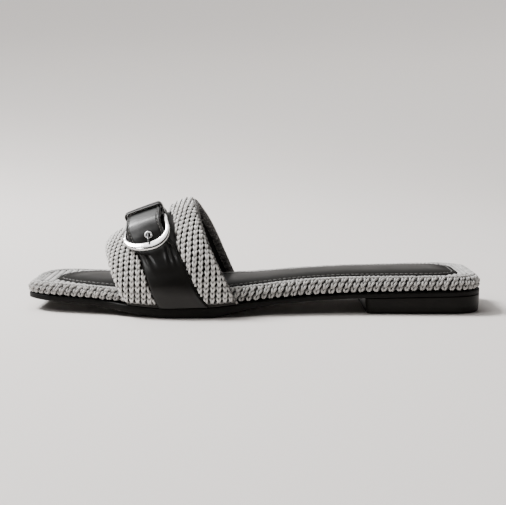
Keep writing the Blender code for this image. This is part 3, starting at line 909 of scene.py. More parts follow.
def buckle_shift(place):
    """The buckle sits a little towards the toe and the strap runs back to the middle over it."""
    over = smooth(*BUCKLE_SHIFT_END, place)
    past = smooth(*KEEPER_SHIFT_END, place)
    return BUCKLE_SHIFT * (1 - over) + KEEPER_SHIFT * over * (1 - past)


def settle(place):
    """Takes the buckle's shift off the strap again below the buckle."""
    return BUCKLE_SHIFT * (smooth(*BUCKLE_SHIFT_START, place) - 1)


def on_strap(place, across, height):
    """Points by place along the strap, millimetres across it and height off the lining."""
    t = strap_t(place)
    across = across + buckle_shift(place)
    return on_upper(STRAP_FOOT + strap_lean(t) + across / FOOT_TO_WIDTH, t, height)


def strap_floor(place):
    """Height of the strap's underside where it lies in the channel."""
    return channel_floor(strap_t(place)) + STRAP_REST


def strap_lift(place):
    return glide(LIFTS, "lift", place)


def free_tilt(place, share):
    """How far the free end's toe side is lifted more under the keeper (share -1 to 1 across)."""
    over = smooth(*FREE_TILT_START, place) * (1 - smooth(*FREE_TILT_END, place))
    return FREE_TILT * over * (1 - share) / 2


def pleats(place, across):
    """Height that the soft folds add to the strap's face."""
    rise = np.zeros(np.broadcast(place, across).shape)
    for fold in PLEATS:
        run = (place - fold.place) / fold.long
        side = (across - fold.across - fold.slant * (place - fold.place)) / fold.wide
        rise = rise + fold.rise * np.exp(-run * run - side * side)
    return rise


def hem(place, across, wide):
    """Height that the turned edge and its stitched groove add to the strap's free end."""
    inside = wide - np.abs(across)
    rise = sum(row.rise * np.exp(-((inside - row.inset) / row.wide) ** 2) for row in HEM)
    return rise * smooth(*HEM_START, place)


def squarish(value, power):
    """A sine or cosine drawn towards its ends, for a section with flatter sides."""
    return np.sign(value) * np.abs(value) ** power


# Meshes and pieces


def metres(points):
    """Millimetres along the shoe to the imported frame's metres."""
    return (np.asarray(points) + (-LENGTH / 2, SIDE_SHIFT, 0.0)) * MM


def mesh_of(name, points, faces, looks, indices=None):
    """A smooth closed mesh with outward faces."""
    mesh = bpy.data.meshes.new(name)
    mesh.from_pydata(metres(points).tolist(), [], faces)
    for look in looks:
        mesh.materials.append(look)
    if indices is not None:
        mesh.polygons.foreach_set("material_index", indices)
    made = bmesh.new()
    made.from_mesh(mesh)
    bmesh.ops.remove_doubles(made, verts=made.verts, dist=1e-7)
    bmesh.ops.recalc_face_normals(made, faces=made.faces)
    made.to_mesh(mesh)
    made.free()
    mesh.polygons.foreach_set("use_smooth", [True] * len(mesh.polygons))
    mesh.update()
    return mesh


def ring_faces(low, high):
    """Faces between rows of vertex numbers, each row closed to a ring."""
    corners = (low, np.roll(low, -1, 1), np.roll(high, -1, 1), high)
    return np.stack(corners, -1).reshape(-1, 4).tolist()


def loft(name, grid, looks, closed=False, pick=None):
    """A body through rows of like closed sections, capped at both ends or closed to a ring."""
    rows, columns = grid.shape[:2]
    index = np.arange(rows * columns).reshape(rows, columns)
    ahead = np.roll(index, -1, 0)
    if not closed:
        index, ahead = index[:-1], ahead[:-1]
    faces = ring_faces(index, ahead)
    indices = None
    if pick is not None:
        indices = np.tile(pick, len(index)).tolist()
    if not closed:
        last = np.arange((rows - 1) * columns, rows * columns)
        faces += [list(range(columns)), last.tolist()]
        if indices is not None:
            indices += [0, 0]
    return mesh_of(name, grid.reshape(-1, 3), faces, looks, indices)


def strip_caps(rings):
    """Close stacked plan rings at both ends: strips from side to side, one face at each tip."""
    count = rings.shape[1]
    half, tip = count // 2, count // 16
    faces = []
    for level in (0, rings.shape[0] - 1):
        base = level * count
        for k in range(tip, half - tip):
            faces.append([base + k, base + k + 1, base + count - k - 1, base + count - k])
        faces.append([base + k % count for k in range(-tip, tip + 1)])
        faces.append([base + k for k in range(half - tip, half + tip + 1)])
    return faces


def stack(name, rings, look):
    """A body of stacked plan rings."""
    rows, columns = rings.shape[:2]
    index = np.arange(rows * columns).reshape(rows, columns)
    faces = ring_faces(index[:-1], index[1:]) + strip_caps(rings)
    return mesh_of(name, rings.reshape(-1, 3), faces, [look])


def piece(name, mesh, slot, *nodes):
    """Put a finished mesh on the sandal's one body, in place of the solids it stands for."""
    made = bpy.data.objects.new(name, mesh)
    bpy.context.scene.collection.objects.link(made)
    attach(made, BODY)
    if nodes:
        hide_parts(*nodes)
    return made


# Geometry Nodes


class Tree:
    """A Geometry Nodes tree under construction."""

    def __init__(self, name):
        self.group = bpy.data.node_groups.new(name, "GeometryNodeTree")
        face = self.group.interface
        face.new_socket("Geometry", in_out="OUTPUT", socket_type="NodeSocketGeometry")
        face.new_socket("Geometry", in_out="INPUT", socket_type="NodeSocketGeometry")
        self.entry = self.group.nodes.new("NodeGroupInput")
        self.exit = self.group.nodes.new("NodeGroupOutput")

    def input(self, name, kind):
        self.group.interface.new_socket(name, in_out="INPUT", socket_type=kind)
        return self.entry.outputs[name]

    def node(self, kind, settings=(), sockets=()):
        """Add a node; a socket is fed by another socket or holds a plain value."""
        made = self.group.nodes.new(kind)
        for key, value in dict(settings).items():
            setattr(made, key, value)
        for key, value in dict(sockets).items():
            if isinstance(value, bpy.types.NodeSocket):
                self.group.links.new(value, made.inputs[key])
            else:
                made.inputs[key].default_value = value
        return made

    def close(self, geometry, look):
        """End the tree with one smooth mesh in the given material."""
        whole = self.node("GeometryNodeRealizeInstances", (), {"Geometry": geometry})
        soft = self.node("GeometryNodeSetShadeSmooth", (), {"Geometry": whole.outputs[0]})
        painted = self.node(
            "GeometryNodeSetMaterial", (), {"Geometry": soft.outputs[0], "Material": look})
        self.group.links.new(painted.outputs[0], self.exit.inputs[0])


def yarn_tree(look):
    """Sweeps a round yarn along lines."""
    tree = Tree("yarn_sweep")
    radius = tree.input("Yarn radius", "NodeSocketFloat")
    sides = tree.input("Sides", "NodeSocketInt")
    line = tree.node("GeometryNodeMeshToCurve", (), {"Mesh": tree.entry.outputs["Geometry"]})
    profile = tree.node(
        "GeometryNodeCurvePrimitiveCircle", (), {"Resolution": sides, "Radius": radius})
    swept = tree.node("GeometryNodeCurveToMesh", (), {
        "Curve": line.outputs[0], "Profile Curve": profile.outputs[0], "Fill Caps": True})
    tree.close(swept.outputs[0], look)
    return tree.group


def stitch_tree(look):
    """Lays short rounded stitches end to end along lines."""
    tree = Tree("stitch_row")
    pitch = tree.input("Stitch pitch", "NodeSocketFloat")
    thread = tree.input("Thread radius", "NodeSocketFloat")
    line = tree.node("GeometryNodeMeshToCurve", (), {"Mesh": tree.entry.outputs["Geometry"]})
    spots = tree.node(
        "GeometryNodeCurveToPoints", {"mode": "LENGTH"}, {"Curve": line.outputs[0], "Length": pitch})
    turn = tree.node(
        "FunctionNodeAlignRotationToVector", {"axis": "Z"}, {"Vector": spots.outputs["Tangent"]})
    half = tree.node("ShaderNodeMath", {"operation": "MULTIPLY"}, {0: pitch, 1: STITCH_FILL})
    size = tree.node("ShaderNodeCombineXYZ", (), {
        "X": thread, "Y": thread, "Z": half.outputs[0]})
    bead = tree.node(
        "GeometryNodeMeshUVSphere", (), {"Segments": 8, "Rings": 6, "Radius": 1.0})
    laid = tree.node("GeometryNodeInstanceOnPoints", (), {
        "Points": spots.outputs["Points"], "Instance": bead.outputs["Mesh"],
        "Rotation": turn.outputs[0], "Scale": size.outputs[0]})
    tree.close(laid.outputs[0], look)
    return tree.group


def grown(name, lines, group, values, slot):
    """Run a tree on lines of points, with their rise (the yarn's painted shade) if given, and keep a
    plain mesh.
    """
    edges, first = [], 0
    for line in lines:
        edges += [(first + k, first + k + 1) for k in range(len(line) - 1)]
        first += len(line)
    points = np.concatenate(lines)
    guide = bpy.data.meshes.new(name + "_guide")
    guide.from_pydata(metres(points[:, :3]).tolist(), edges, [])
    # A fourth column is the yarn's painted shade, kept as the rise attribute
    if points.shape[1] == 4:
        rise = guide.attributes.new("rise", "FLOAT", "POINT")
        rise.data.foreach_set("value", points[:, 3])
    carrier = bpy.data.objects.new(name + "_guide", guide)
    bpy.context.scene.collection.objects.link(carrier)
    change = carrier.modifiers.new("grow", "NODES")
    change.node_group = group
    for item in group.interface.items_tree:
        if item.in_out == "INPUT" and item.name in values:
            change[item.identifier] = values[item.name]
    bpy.context.view_layer.update()
    depsgraph = bpy.context.evaluated_depsgraph_get()
    mesh = bpy.data.meshes.new_from_object(carrier.evaluated_get(depsgraph))
    mesh.name = name
    carrier.modifiers.remove(change)
    bpy.data.objects.remove(carrier)
    bpy.data.meshes.remove(guide)
    return piece(name, mesh, slot)


# Materials


class Value:
    """A shader socket that takes part in Python arithmetic."""

    def __init__(self, look, socket):
        self.look = look
        self.socket = socket

    def math(self, operation, first, second):
        return self.look.node("ShaderNodeMath", {"operation": operation}, {0: first, 1: second})

    def __add__(self, other):
        return self.math("ADD", self, other)

    def __sub__(self, other):
        return self.math("SUBTRACT", self, other)

    def __rsub__(self, other):
        return self.math("SUBTRACT", other, self)

    def __mul__(self, other):
        return self.math("MULTIPLY", self, other)

    __radd__ = __add__
    __rmul__ = __mul__


class Look:
    """A material under construction, built round its Principled shader."""

    def __init__(self, name, constants):
        self.material = bpy.data.materials.new(name)
        self.material.use_nodes = True
        self.tree = self.material.node_tree
        self.shader = self.tree.nodes["Principled BSDF"]
        self.feed(self.shader, constants)

    def feed(self, made, sockets):
        """Link shader values to a node's inputs and set its plain ones."""
        for key, value in sockets.items():
            if isinstance(value, Value):
                self.tree.links.new(value.socket, made.inputs[key])
            else:
                made.inputs[key].default_value = value

    def node(self, kind, settings, sockets, out=0):
        """Add a node and take one of its outputs as a value; stops set up a colour ramp."""
        made = self.tree.nodes.new(kind)
        for key, value in settings.items():
            if key == "stops":
                ramp = made.color_ramp.elements
                while len(ramp) < len(value):
                    ramp.new(0.5)
                for stop, (place, colour) in zip(ramp, value):
                    stop.position = place
                    stop.color = (*colour, 1.0)
            else:
                setattr(made, key, value)
        self.feed(made, sockets)
        return Value(self, made.outputs[out])

    def place(self):
        return self.node("ShaderNodeTexCoord", {}, {}, "Object")

    def noise(self, scale, detail=3.0, rough=0.55):
        return self.node("ShaderNodeTexNoise", {}, {
            "Vector": self.place(), "Scale": scale, "Detail": detail, "Roughness": rough})

    def cells(self, scale):
        return self.node(
            "ShaderNodeTexVoronoi", {"feature": "DISTANCE_TO_EDGE"},
            {"Vector": self.place(), "Scale": scale})

    def between(self, low, high, share):
        ramp = {"stops": ((0.0, low), (1.0, high))}
        return self.node("ShaderNodeValToRGB", ramp, {"Fac": share})

    def bump(self, height, strength, distance):
        return self.node("ShaderNodeBump", {}, {
            "Height": height, "Strength": strength, "Distance": distance})

    def paint(self, sockets):
        self.feed(self.shader, sockets)
        return self.material


def shade(colour, factor):
    """A colour made darker or lighter."""
    return tuple(min(channel * factor, 1.0) for channel in colour)


def shaded_yarn_look(name, colour):
    """Woolly yarn with painted light: dark as painted shade where its rise is low, pale as a painted
    highlight where it stands out.
    """
    look = Look(name, {"Roughness": 0.86, "Sheen Weight": 0.25, "Sheen Roughness": 0.5})
    fibre = look.noise(900.0, detail=4.0, rough=0.65)
    patch = look.noise(130.0, detail=2.0)
    # The rise attribute carries the yarn's painted shade: 0 in its dips, 1 on its crests
    rise = look.node("ShaderNodeAttribute", {"attribute_name": "rise"}, {}, "Fac")
    share = rise * 0.72 + patch * 0.35 + fibre * 0.3 - 0.21
    # Painted shade at the low stops and a painted highlight, brighter than the yarn's own colour, at
    # the top stop
    stops = ((0.08, shade(colour, 0.06)), (0.5, shade(colour, 0.46)), (0.92, shade(colour, 1.58)))
    tone = look.node("ShaderNodeValToRGB", {"stops": stops}, {"Fac": share})
    bump = look.bump(fibre, strength=0.45, distance=0.0004)
    return look.paint({"Base Color": tone, "Normal": bump})


def cloth_look(name, colour, scale):
    """Dull woven cloth."""
    look = Look(name, {"Roughness": 0.9})
    weave = look.cells(scale)
    tone = look.between(shade(colour, 0.6), shade(colour, 1.25), look.noise(240.0))
    bump = look.bump(weave, strength=0.5, distance=0.0003)
    return look.paint({"Base Color": tone, "Normal": bump})


def shaded_lumps_look(name, colour):
    """Lumpy edging, toned at random and with painted shade: darker in the dips between its lumps."""
    look = Look(name, {"Roughness": 0.85})
    lumps = look.cells(620.0)
    patch = look.noise(420.0, detail=2.0)
    # Painted shade: the tone follows the lumps of the bump, dark in the dips between them
    tone = look.between(shade(colour, 0.15), shade(colour, 2.0), lumps * 1.6 + patch * 0.8 - 0.35)
    bump = look.bump(lumps, strength=1.0, distance=0.0008)
    return look.paint({"Base Color": tone, "Normal": bump})


def leather_look(name, colour, rough, grain, depth, specular=0.5):
    """Leather with a cell grain, worn a little unevenly."""
    look = Look(name, {"Specular IOR Level": specular})
    cells = look.cells(grain)
    fine = look.noise(grain * 1.7)
    wear = look.noise(55.0, detail=4.0)
    tone = look.between(shade(colour, 0.75), shade(colour, 1.35), wear)
    gloss = look.noise(120.0) * 0.16 + (rough - 0.08)
    bump = look.bump(cells * 0.7 + fine * 0.3, strength=depth, distance=0.0002)
    return look.paint({"Base Color": tone, "Roughness": gloss, "Normal": bump})


def insole_look(name, colour):
    """Soft leather that feet have polished in the middle."""
    look = Look(name, {"Specular IOR Level": 0.03, "Coat Roughness": 0.34, "Coat IOR": 1.33})
    sheen = look.node("ShaderNodeAttribute", {"attribute_name": "sheen"}, {}, "Fac")
    grain = look.cells(1100.0) * 0.7 + look.noise(1900.0) * 0.3
    tone = look.between(shade(colour, 0.75), shade(colour, 1.35), look.noise(55.0, detail=4.0))
    gloss = look.noise(120.0) * 0.16 + 0.45
    coat = sheen * (look.noise(70.0) * 0.5 + 0.5)
    bump = look.bump(grain, strength=0.35, distance=0.0002)
    return look.paint({
        "Base Color": tone, "Roughness": gloss, "Coat Weight": coat, "Normal": bump})


def rubber_look(name, colour, rough):
    """Dull speckled rubber."""
    look = Look(name, {"Specular IOR Level": 0.1})
    speck = look.noise(700.0)
    tone = look.between(shade(colour, 0.8), shade(colour, 1.3), look.noise(90.0))
    gloss = look.noise(160.0) * 0.14 + (rough - 0.07)
    bump = look.bump(speck, strength=0.25, distance=0.0002)
    return look.paint({"Base Color": tone, "Roughness": gloss, "Normal": bump})


def metal_look(name, colour, rough):
    """Bright metal with faint rub marks."""
    look = Look(name, {"Metallic": 1.0})
    rub = look.noise(420.0, detail=4.0)
    tone = look.between(shade(colour, 0.95), shade(colour, 1.05), look.noise(200.0))
    gloss = rub * 0.1 + (rough - 0.05)
    bump = look.bump(rub, strength=0.05, distance=0.0001)
    return look.paint({"Base Color": tone, "Roughness": gloss, "Normal": bump})


# Knit


def loop_path(turn):
    """How far a loop of stocking stitch has gone across the wales; its two legs lie close."""
    return turn / TURN + LOOP_SWING * np.sin(2 * turn) - LOOP_PINCH * np.sin(turn)


def kept_runs(points, keep, least=6):
    """The unbroken runs of the points that are kept, apart from the shortest."""
    runs = np.split(np.arange(len(keep)), np.flatnonzero(np.diff(keep)) + 1)
    return [points[run] for run in runs if keep[run[0]] and len(run) >= least]


def with_painted_shade(points, height, relief):
    """Points with a fourth column, the yarn's painted shade: 0 where the yarn dips and 1 where it
    stands out.
    """
    return np.column_stack((points, np.clip(0.5 + height / relief / 2, 0.0, 1.0)))


def knit_lines(surface, rows, wales, relief, loose=1.0, steps=22):
    """Yarn lines of stocking stitch: surface takes courses, wales and a height."""
    rng = np.random.default_rng(SEED)
    turn = np.linspace(-math.pi, (2 * wales - 1) * math.pi, steps * wales + 1)
    knots = np.linspace(turn[0], turn[-1], 2 * wales + 1)
    lines = []
    for row in range(rows):
        slack = rng.normal(0, 1, (3, 2 * wales + 1))
        slack[:, -1] = slack[:, 0]
        wander = [np.interp(turn, knots, values) for values in slack]
        across = loop_path(turn) + 0.5 + SLACK_ACROSS * loose * wander[0]
        up = row + 0.5 + LOOP_REACH * np.cos(turn) + SLACK_UP * loose * wander[1]
        height = -relief * np.cos(2 * turn) * (1 + SLACK_HEIGHT * wander[2])
        lines += surface(up, across, height)
    return lines


class LobeKnit:
    """Maps courses and wales onto one lobe of the band; the wales stand upright on the foot."""

    def __init__(self, lobe, course, wale, trim, yarn, relief):
        self.lobe = lobe
        self.wale = wale
        self.trim = trim
        self.sink = yarn * LOBE_SINK
        self.hem = yarn * LOBE_HEM
        self.relief = relief
        self.ts = np.linspace(-1, 1, 400)
        ts = self.ts[:, None]
        foot, height = lobe_section(lobe, ts, PARTS[None, ::5])
        points = on_upper(foot, ts, height)
        self.girths = np.linalg.norm(np.diff(points, axis=1), axis=2).sum(1)
        middle = points[:, points.shape[1] // 2]
        self.lengths = run_lengths(middle)
        self.skew = middle[:, 0] - middle[:, 0].min() + self.girths.max() / 2
        self.skew += LOBE_FAN * smooth(0.0, 0.45, np.abs(self.ts))
        self.rows = int(round(self.lengths[-1] / course))
        self.wales = int(math.ceil((self.skew.max() + self.girths.max() / 2) / wale))

    def __call__(self, up, across, height):
        """Yarn lines on the lobe, cut off at its edges."""
        up = self.rows / 2 + (up - self.rows / 2) * (1 - LOBE_MARGIN / self.rows)
        t = np.interp(up / self.rows * self.lengths[-1], self.lengths, self.ts)
        side = across * self.wale - np.interp(t, self.ts, self.skew)
        share = 0.5 + side / np.interp(t, self.ts, self.girths)
        low, high = self.trim
        keep = (share > low) & (share < high)
        part = np.interp(share, np.linspace(0, 1, len(PARTS)), PARTS)
        foot, level = lobe_section(self.lobe, t, part)
        start, end = lobe_edges(self.lobe, t)
        middle, half = (start + end) / 2, (end - start) / 2
        foot = middle + (foot - middle) * (1 - self.hem / half)
        points = on_upper(foot, t, level - self.sink + height)
        return kept_runs(with_painted_shade(points, height, self.relief), keep)


class RimKnit:
    """Maps courses and wales onto the rolled rim round the footbed; the wales run up its side."""

    def __init__(self, rows, wale, yarn, relief):
        self.loop = Loop(RIM)
        self.rows = rows
        self.wales = int(round(self.loop.length / wale))
        self.yarn = yarn
        self.relief = relief

    def skin(self, place, girth):
        """Points of the rim's smooth surface."""
        inset = glide(GIRTHS, "inset", girth)
        plan = self.loop.at(place, inset)
        lift = glide(GIRTHS, "share", girth) * glide(STATIONS, "rim", plan[..., 0])
        return np.concatenate((plan, (sole_top(plan[..., 0]) + GAP + lift)[..., None]), -1)

    def raised(self, place, girth, height, step=0.5, part=0.02):
        """Points off the rim's surface, which settles at its top and tucks in at the insole."""
        run = self.skin(place + step, girth) - self.skin(place - step, girth)
        rise = self.skin(place, np.minimum(girth + part, 1.0))
        rise = rise - self.skin(place, np.maximum(girth - part, 0.0))
        out = unit(np.cross(run, rise))
        sink = self.relief + self.yarn - RIM_PROUD + RIM_SETTLE * smooth(0.4, 0.65, girth)
        sink = sink + RIM_TUCK * smooth(0.74, 0.95, girth)
        return self.skin(place, girth) + out * (height - sink)[..., None]

    def __call__(self, up, across, height):
        """One yarn line round the rim; its wales bend away on both sides of the apex."""
        girth = np.clip(0.5 + (up - self.rows / 2) / (self.rows + 0.5), 0.0, 1.0)
        bend = RIM_BEND * np.sqrt((girth - RIM_APEX) ** 2 + RIM_APEX_ROUND)
        place = across / self.wales * self.loop.length + bend
        return [with_painted_shade(self.raised(place, girth, height), height, self.relief)]

    def roll(self, girths, count=2200, knots=160):
        """Beaded yarns that run on along the rim's inner edge."""
        rng = np.random.default_rng(SEED)
        place = np.linspace(0, self.loop.length, count)
        lines = []
        for number, girth in enumerate(girths):
            bends = np.linspace(0, self.loop.length, knots)
            sway = np.interp(place, bends, rng.normal(0, 1, knots))
            beat = np.cos(TURN * (place / ROLL_BEAD + number / 2) + sway)
            at = np.clip(girth + ROLL_SWAY * sway, 0.0, 1.0)
            line = self.raised(place, at, self.relief * ROLL_HEIGHT.read(sway, beat))
            # Fourth column: the roll's painted shade, darker between the beads
            lines.append(np.column_stack((line, ROLL_PAINTED_SHADE.read(sway, beat))))
        return lines


def depth_in(outline, along, across):
    """Roughly how far points lie inside an outline, in millimetres."""
    sign = np.where(across < 0, -1.0, 1.0)
    side = edge(outline, sign, along) - np.abs(across)
    return np.minimum(side, np.minimum(along - outline.toe, outline.heel - along))


def flat_lines(course, wale, relief, sink, steps=20):
    """Knit on the flats of the toe and heel, from the rim's roll to under the insole's edge."""
    turn = np.arange(-FLAT_REACH, FLAT_REACH, TURN / steps)
    height = -relief * np.cos(2 * turn)
    across = loop_path(turn) * wale
    lines = []
    for start, end in FLATS:
        for row in range(int(start / course), int(end / course) + 1):
            along = (row + LOOP_REACH * np.cos(turn)) * course
            under = depth_in(INSOLE, along, across)
            level = rim_top(along) - sink + height - FLAT_DUCK * smooth(-0.6, 0.8, under)
            points = with_painted_shade(np.stack((along, across, level), -1), height, relief)
            keep = (depth_in(ROLL, along, across) > 0) & (under < FLAT_HIDDEN)
            lines += kept_runs(points, keep)
    return lines


# Operators


class SANDAL_OT_sole(bpy.types.Operator):
    """Make the outsole and the heel block"""
    bl_idname = "sandal.sole"
    bl_label = "Sole"

    def execute(self, context):
        sole = context.scene.sandal_sole
        rings = plan_rings(OUTSOLE, OUTSOLE_TIERS, sole_bottom, sole_thick, count=320)
        rubber = rubber_look("outsole_rubber", sole.rubber, rough=0.5)
        piece("outsole_rubber", stack("outsole_rubber", rings, rubber), "outsole_rubber", "outsole")
        rings = plan_rings(HEEL, HEEL_TIERS, np.zeros_like, heel_thick, count=240)
        dark = rubber_look("heel_rubber", sole.heel, rough=0.42)
        piece("heel_block", stack("heel_block", rings, dark), "heel_rubber", "heel_lift")
        return {"FINISHED"}


class SANDAL_OT_footbed(bpy.types.Operator):
    """Make the footbed's core and the knit round its rim and on its toe and heel"""
    bl_idname = "sandal.footbed"
    bl_label = "Knit footbed"

    def execute(self, context):
        knit = context.scene.sandal_knit
        yarn = knit.yarn / MM
        relief = knit.relief / MM
        rim = RimKnit(RIM_ROWS, knit.rim_wale / MM, yarn, relief)
        places = np.linspace(0, rim.loop.length, 420, endpoint=False)
        under = np.full_like(places, -relief - yarn * RIM_BACKING)
        rings = []
        for girth in np.linspace(0, 1, 22):
            rings.append(rim.raised(places, np.full_like(places, girth), under))
        # Backing cloth, darkened as painted shade in the holes between the loops
        shaded_backing = cloth_look("rim_backing", knit.shaded_backing, scale=900.0)
        core = stack("footbed_core", np.array(rings), shaded_backing)
        piece("footbed_core", core, "pale_knit", "woven_footbed")
        # The rim, its roll and the flats take the band's yarn darkened as painted shade
        tree = yarn_tree(shaded_yarn_look("rim_yarn", shade(knit.colour, RIM_PAINTED_SHADE)))
        thin = {"Yarn radius": knit.yarn * RIM_YARN, "Sides": 6}
        thick = {"Yarn radius": knit.yarn * ROLL_YARN, "Sides": 7}
        lines = knit_lines(rim, rim.rows, rim.wales, relief, loose=RIM_SLACK, steps=20)
        grown("rim_knit", lines, tree, thin, "pale_knit")
        grown("rim_roll", rim.roll(ROLL_GIRTHS), tree, thick, "pale_knit")
        lines = flat_lines(knit.course / MM, knit.wale / MM * FLAT_WALE, relief, relief + yarn)
        grown("toe_knit", lines, tree, thin, "pale_knit")
        return {"FINISHED"}


class SANDAL_OT_insole(bpy.types.Operator):
    """Make the padded insole and its row of stitches"""
    bl_idname = "sandal.insole"
    bl_label = "Insole"

    def execute(self, context):
        leather = context.scene.sandal_leather
        loop = Loop(INSOLE)
        places = np.linspace(0, loop.length, 320, endpoint=False)
        outline = loop.at(places)

        def ring(squeeze, rise):
            half, middle = (INSOLE.heel - INSOLE.toe) / 2, (INSOLE.heel + INSOLE.toe) / 2
            medial = glide(STATIONS, "medial", outline[:, 0])
            centre = (medial - glide(STATIONS, "lateral", outline[:, 0])) / 2
            along = middle + (outline[:, 0] - middle) * (1 - squeeze / half)
            across = centre + (outline[:, 1] - centre) * (1 - squeeze / INSOLE_HALF)
            return np.stack((along, across, rim_top(along) + rise), 1)

        rings = np.array([ring(row.squeeze, row.rise) for row in INSOLE_RINGS])
        mesh = stack("insole_pad", rings, insole_look("insole_leather", leather.insole))
        worn = smooth(*INSOLE_WORN, [row.squeeze for row in INSOLE_RINGS])
        sheen = mesh.attributes.new("sheen", "FLOAT", "POINT")
        sheen.data.foreach_set("value", np.repeat(worn, len(places)))
        pad = piece("insole_pad", mesh, "insole_leather", "insole")
        thread = leather_look("insole_thread", leather.seam, rough=0.6, grain=2000.0, depth=0.2)
        rise = glide(INSOLE_RINGS, "rise", STITCH_RING) + STITCH_RISE
        line = ring(STITCH_RING, rise)
        row = np.concatenate((line, line[:1]))
        values = {"Stitch pitch": leather.stitch, "Thread radius": leather.thread}
        grown("insole_stitches", [row], stitch_tree(thread), values, "insole_leather")
        return {"FINISHED"}


class SANDAL_OT_band(bpy.types.Operator):
    """Make the band's wall, lining and binding and the knit on its two lobes"""
    bl_idname = "sandal.band"
    bl_label = "Knit band"

    def execute(self, context):
        knit = context.scene.sandal_knit
        leather = context.scene.sandal_leather
        yarn, relief = knit.yarn / MM, knit.relief / MM
        ts = np.linspace(-1, 1, 161)
        drop = relief + yarn * LOBE_BACKING
        level = np.zeros_like(ts)
        columns, picks = [], []

        def add(foot, height, pick):
            columns.append(on_upper(foot, ts, height))
            picks.append(pick)

        first, last = front_foot(ts), rear_foot(ts)
        add(first + LINING_LEDGE, level, 1)
        for lobe in ("front", "rear"):
            for part in PARTS[::8]:
                add(*lobe_section(lobe, ts, np.full_like(ts, part), drop), 0)
            if lobe == "front":
                channel_front, channel_rear = channel_edges(ts)
                for share in np.linspace(0.03, 0.97, 9):
                    foot = channel_front + (channel_rear - channel_front) * share
                    add(foot, channel_floor(ts), 0)
        add(last - LINING_LEDGE, level, 1)
        span = last - first - 2 * LINING_LEDGE
        for share in np.linspace(0.96, 0.04, 24):
            add(first + LINING_LEDGE + span * share, level, 1)
        # Backing cloth, darkened as painted shade in the holes between the loops
        shaded_backing = cloth_look("band_backing", knit.shaded_backing, scale=900.0)
        lining_leather = leather_look(
            "band_lining", leather.lining, rough=0.55, grain=900.0, depth=0.3)
        grid = np.stack(columns, 1)
        core = loft("band_core", grid, [shaded_backing, lining_leather], pick=picks)
        shell = piece("band_core", core, "pale_knit", "woven_upper")
        self.bind(leather, ts)
        self.wind(knit)
        tree = yarn_tree(shaded_yarn_look("band_yarn", knit.colour))
        values = {"Yarn radius": knit.yarn, "Sides": 8}
        for lobe, trim in LOBE_TRIMS.items():
            patch = LobeKnit(lobe, knit.course / MM, knit.wale / MM, trim, yarn, relief)
            lines = knit_lines(patch, patch.rows, patch.wales, relief)
            grown("band_knit_" + lobe, lines, tree, values, "pale_knit")
        return {"FINISHED"}

    def wind(self, knit):
        """The knit's turned edge, wound round the band's rear edge, its yarn darkened as painted
        shade.
        """
        ts = np.linspace(-EDGE_END, EDGE_END, 1700)
        core = rear_foot(ts) - EDGE_INSET
        middle = on_upper(core, ts, np.zeros_like(ts))
        turn = run_lengths(middle) / (knit.course / MM) * TURN
        height = EDGE_LEVEL + EDGE_RISE * np.sin(turn)
        line = on_upper(core + EDGE_REACH * np.cos(turn), ts, height)
        # The wound yarn's painted shade: lighter where it reaches out past the edge, darker where it
        # winds back in
        rise = 0.42 + 0.3 * np.cos(turn)
        tree = yarn_tree(shaded_yarn_look("edge_yarn", shade(knit.colour, EDGE_PAINTED_SHADE)))
        values = {"Yarn radius": knit.yarn * EDGE_YARN, "Sides": 7}
        grown("band_edge_knit", [np.column_stack((line, rise))], tree, values, "pale_knit")

    def bind(self, leather, ts):
        """A dark rolled binding along the band's front and rear edges."""
        look = shaded_lumps_look("band_binding", leather.binding)
        for name, at, out in (("front", front_foot(ts), -1), ("rear", rear_foot(ts), 1)):
            columns = []
            for fold in BINDING:
                away = fold.away * BINDING_REACH[name] - BINDING_INSET
                height = fold.high * wall(ts) * BINDING_TALL[name]
                columns.append(on_upper(at + out * away, ts, height))
            mesh = loft("band_binding_" + name, np.stack(columns, 1), [look])
            piece("band_binding_" + name, mesh, "strap_leather")


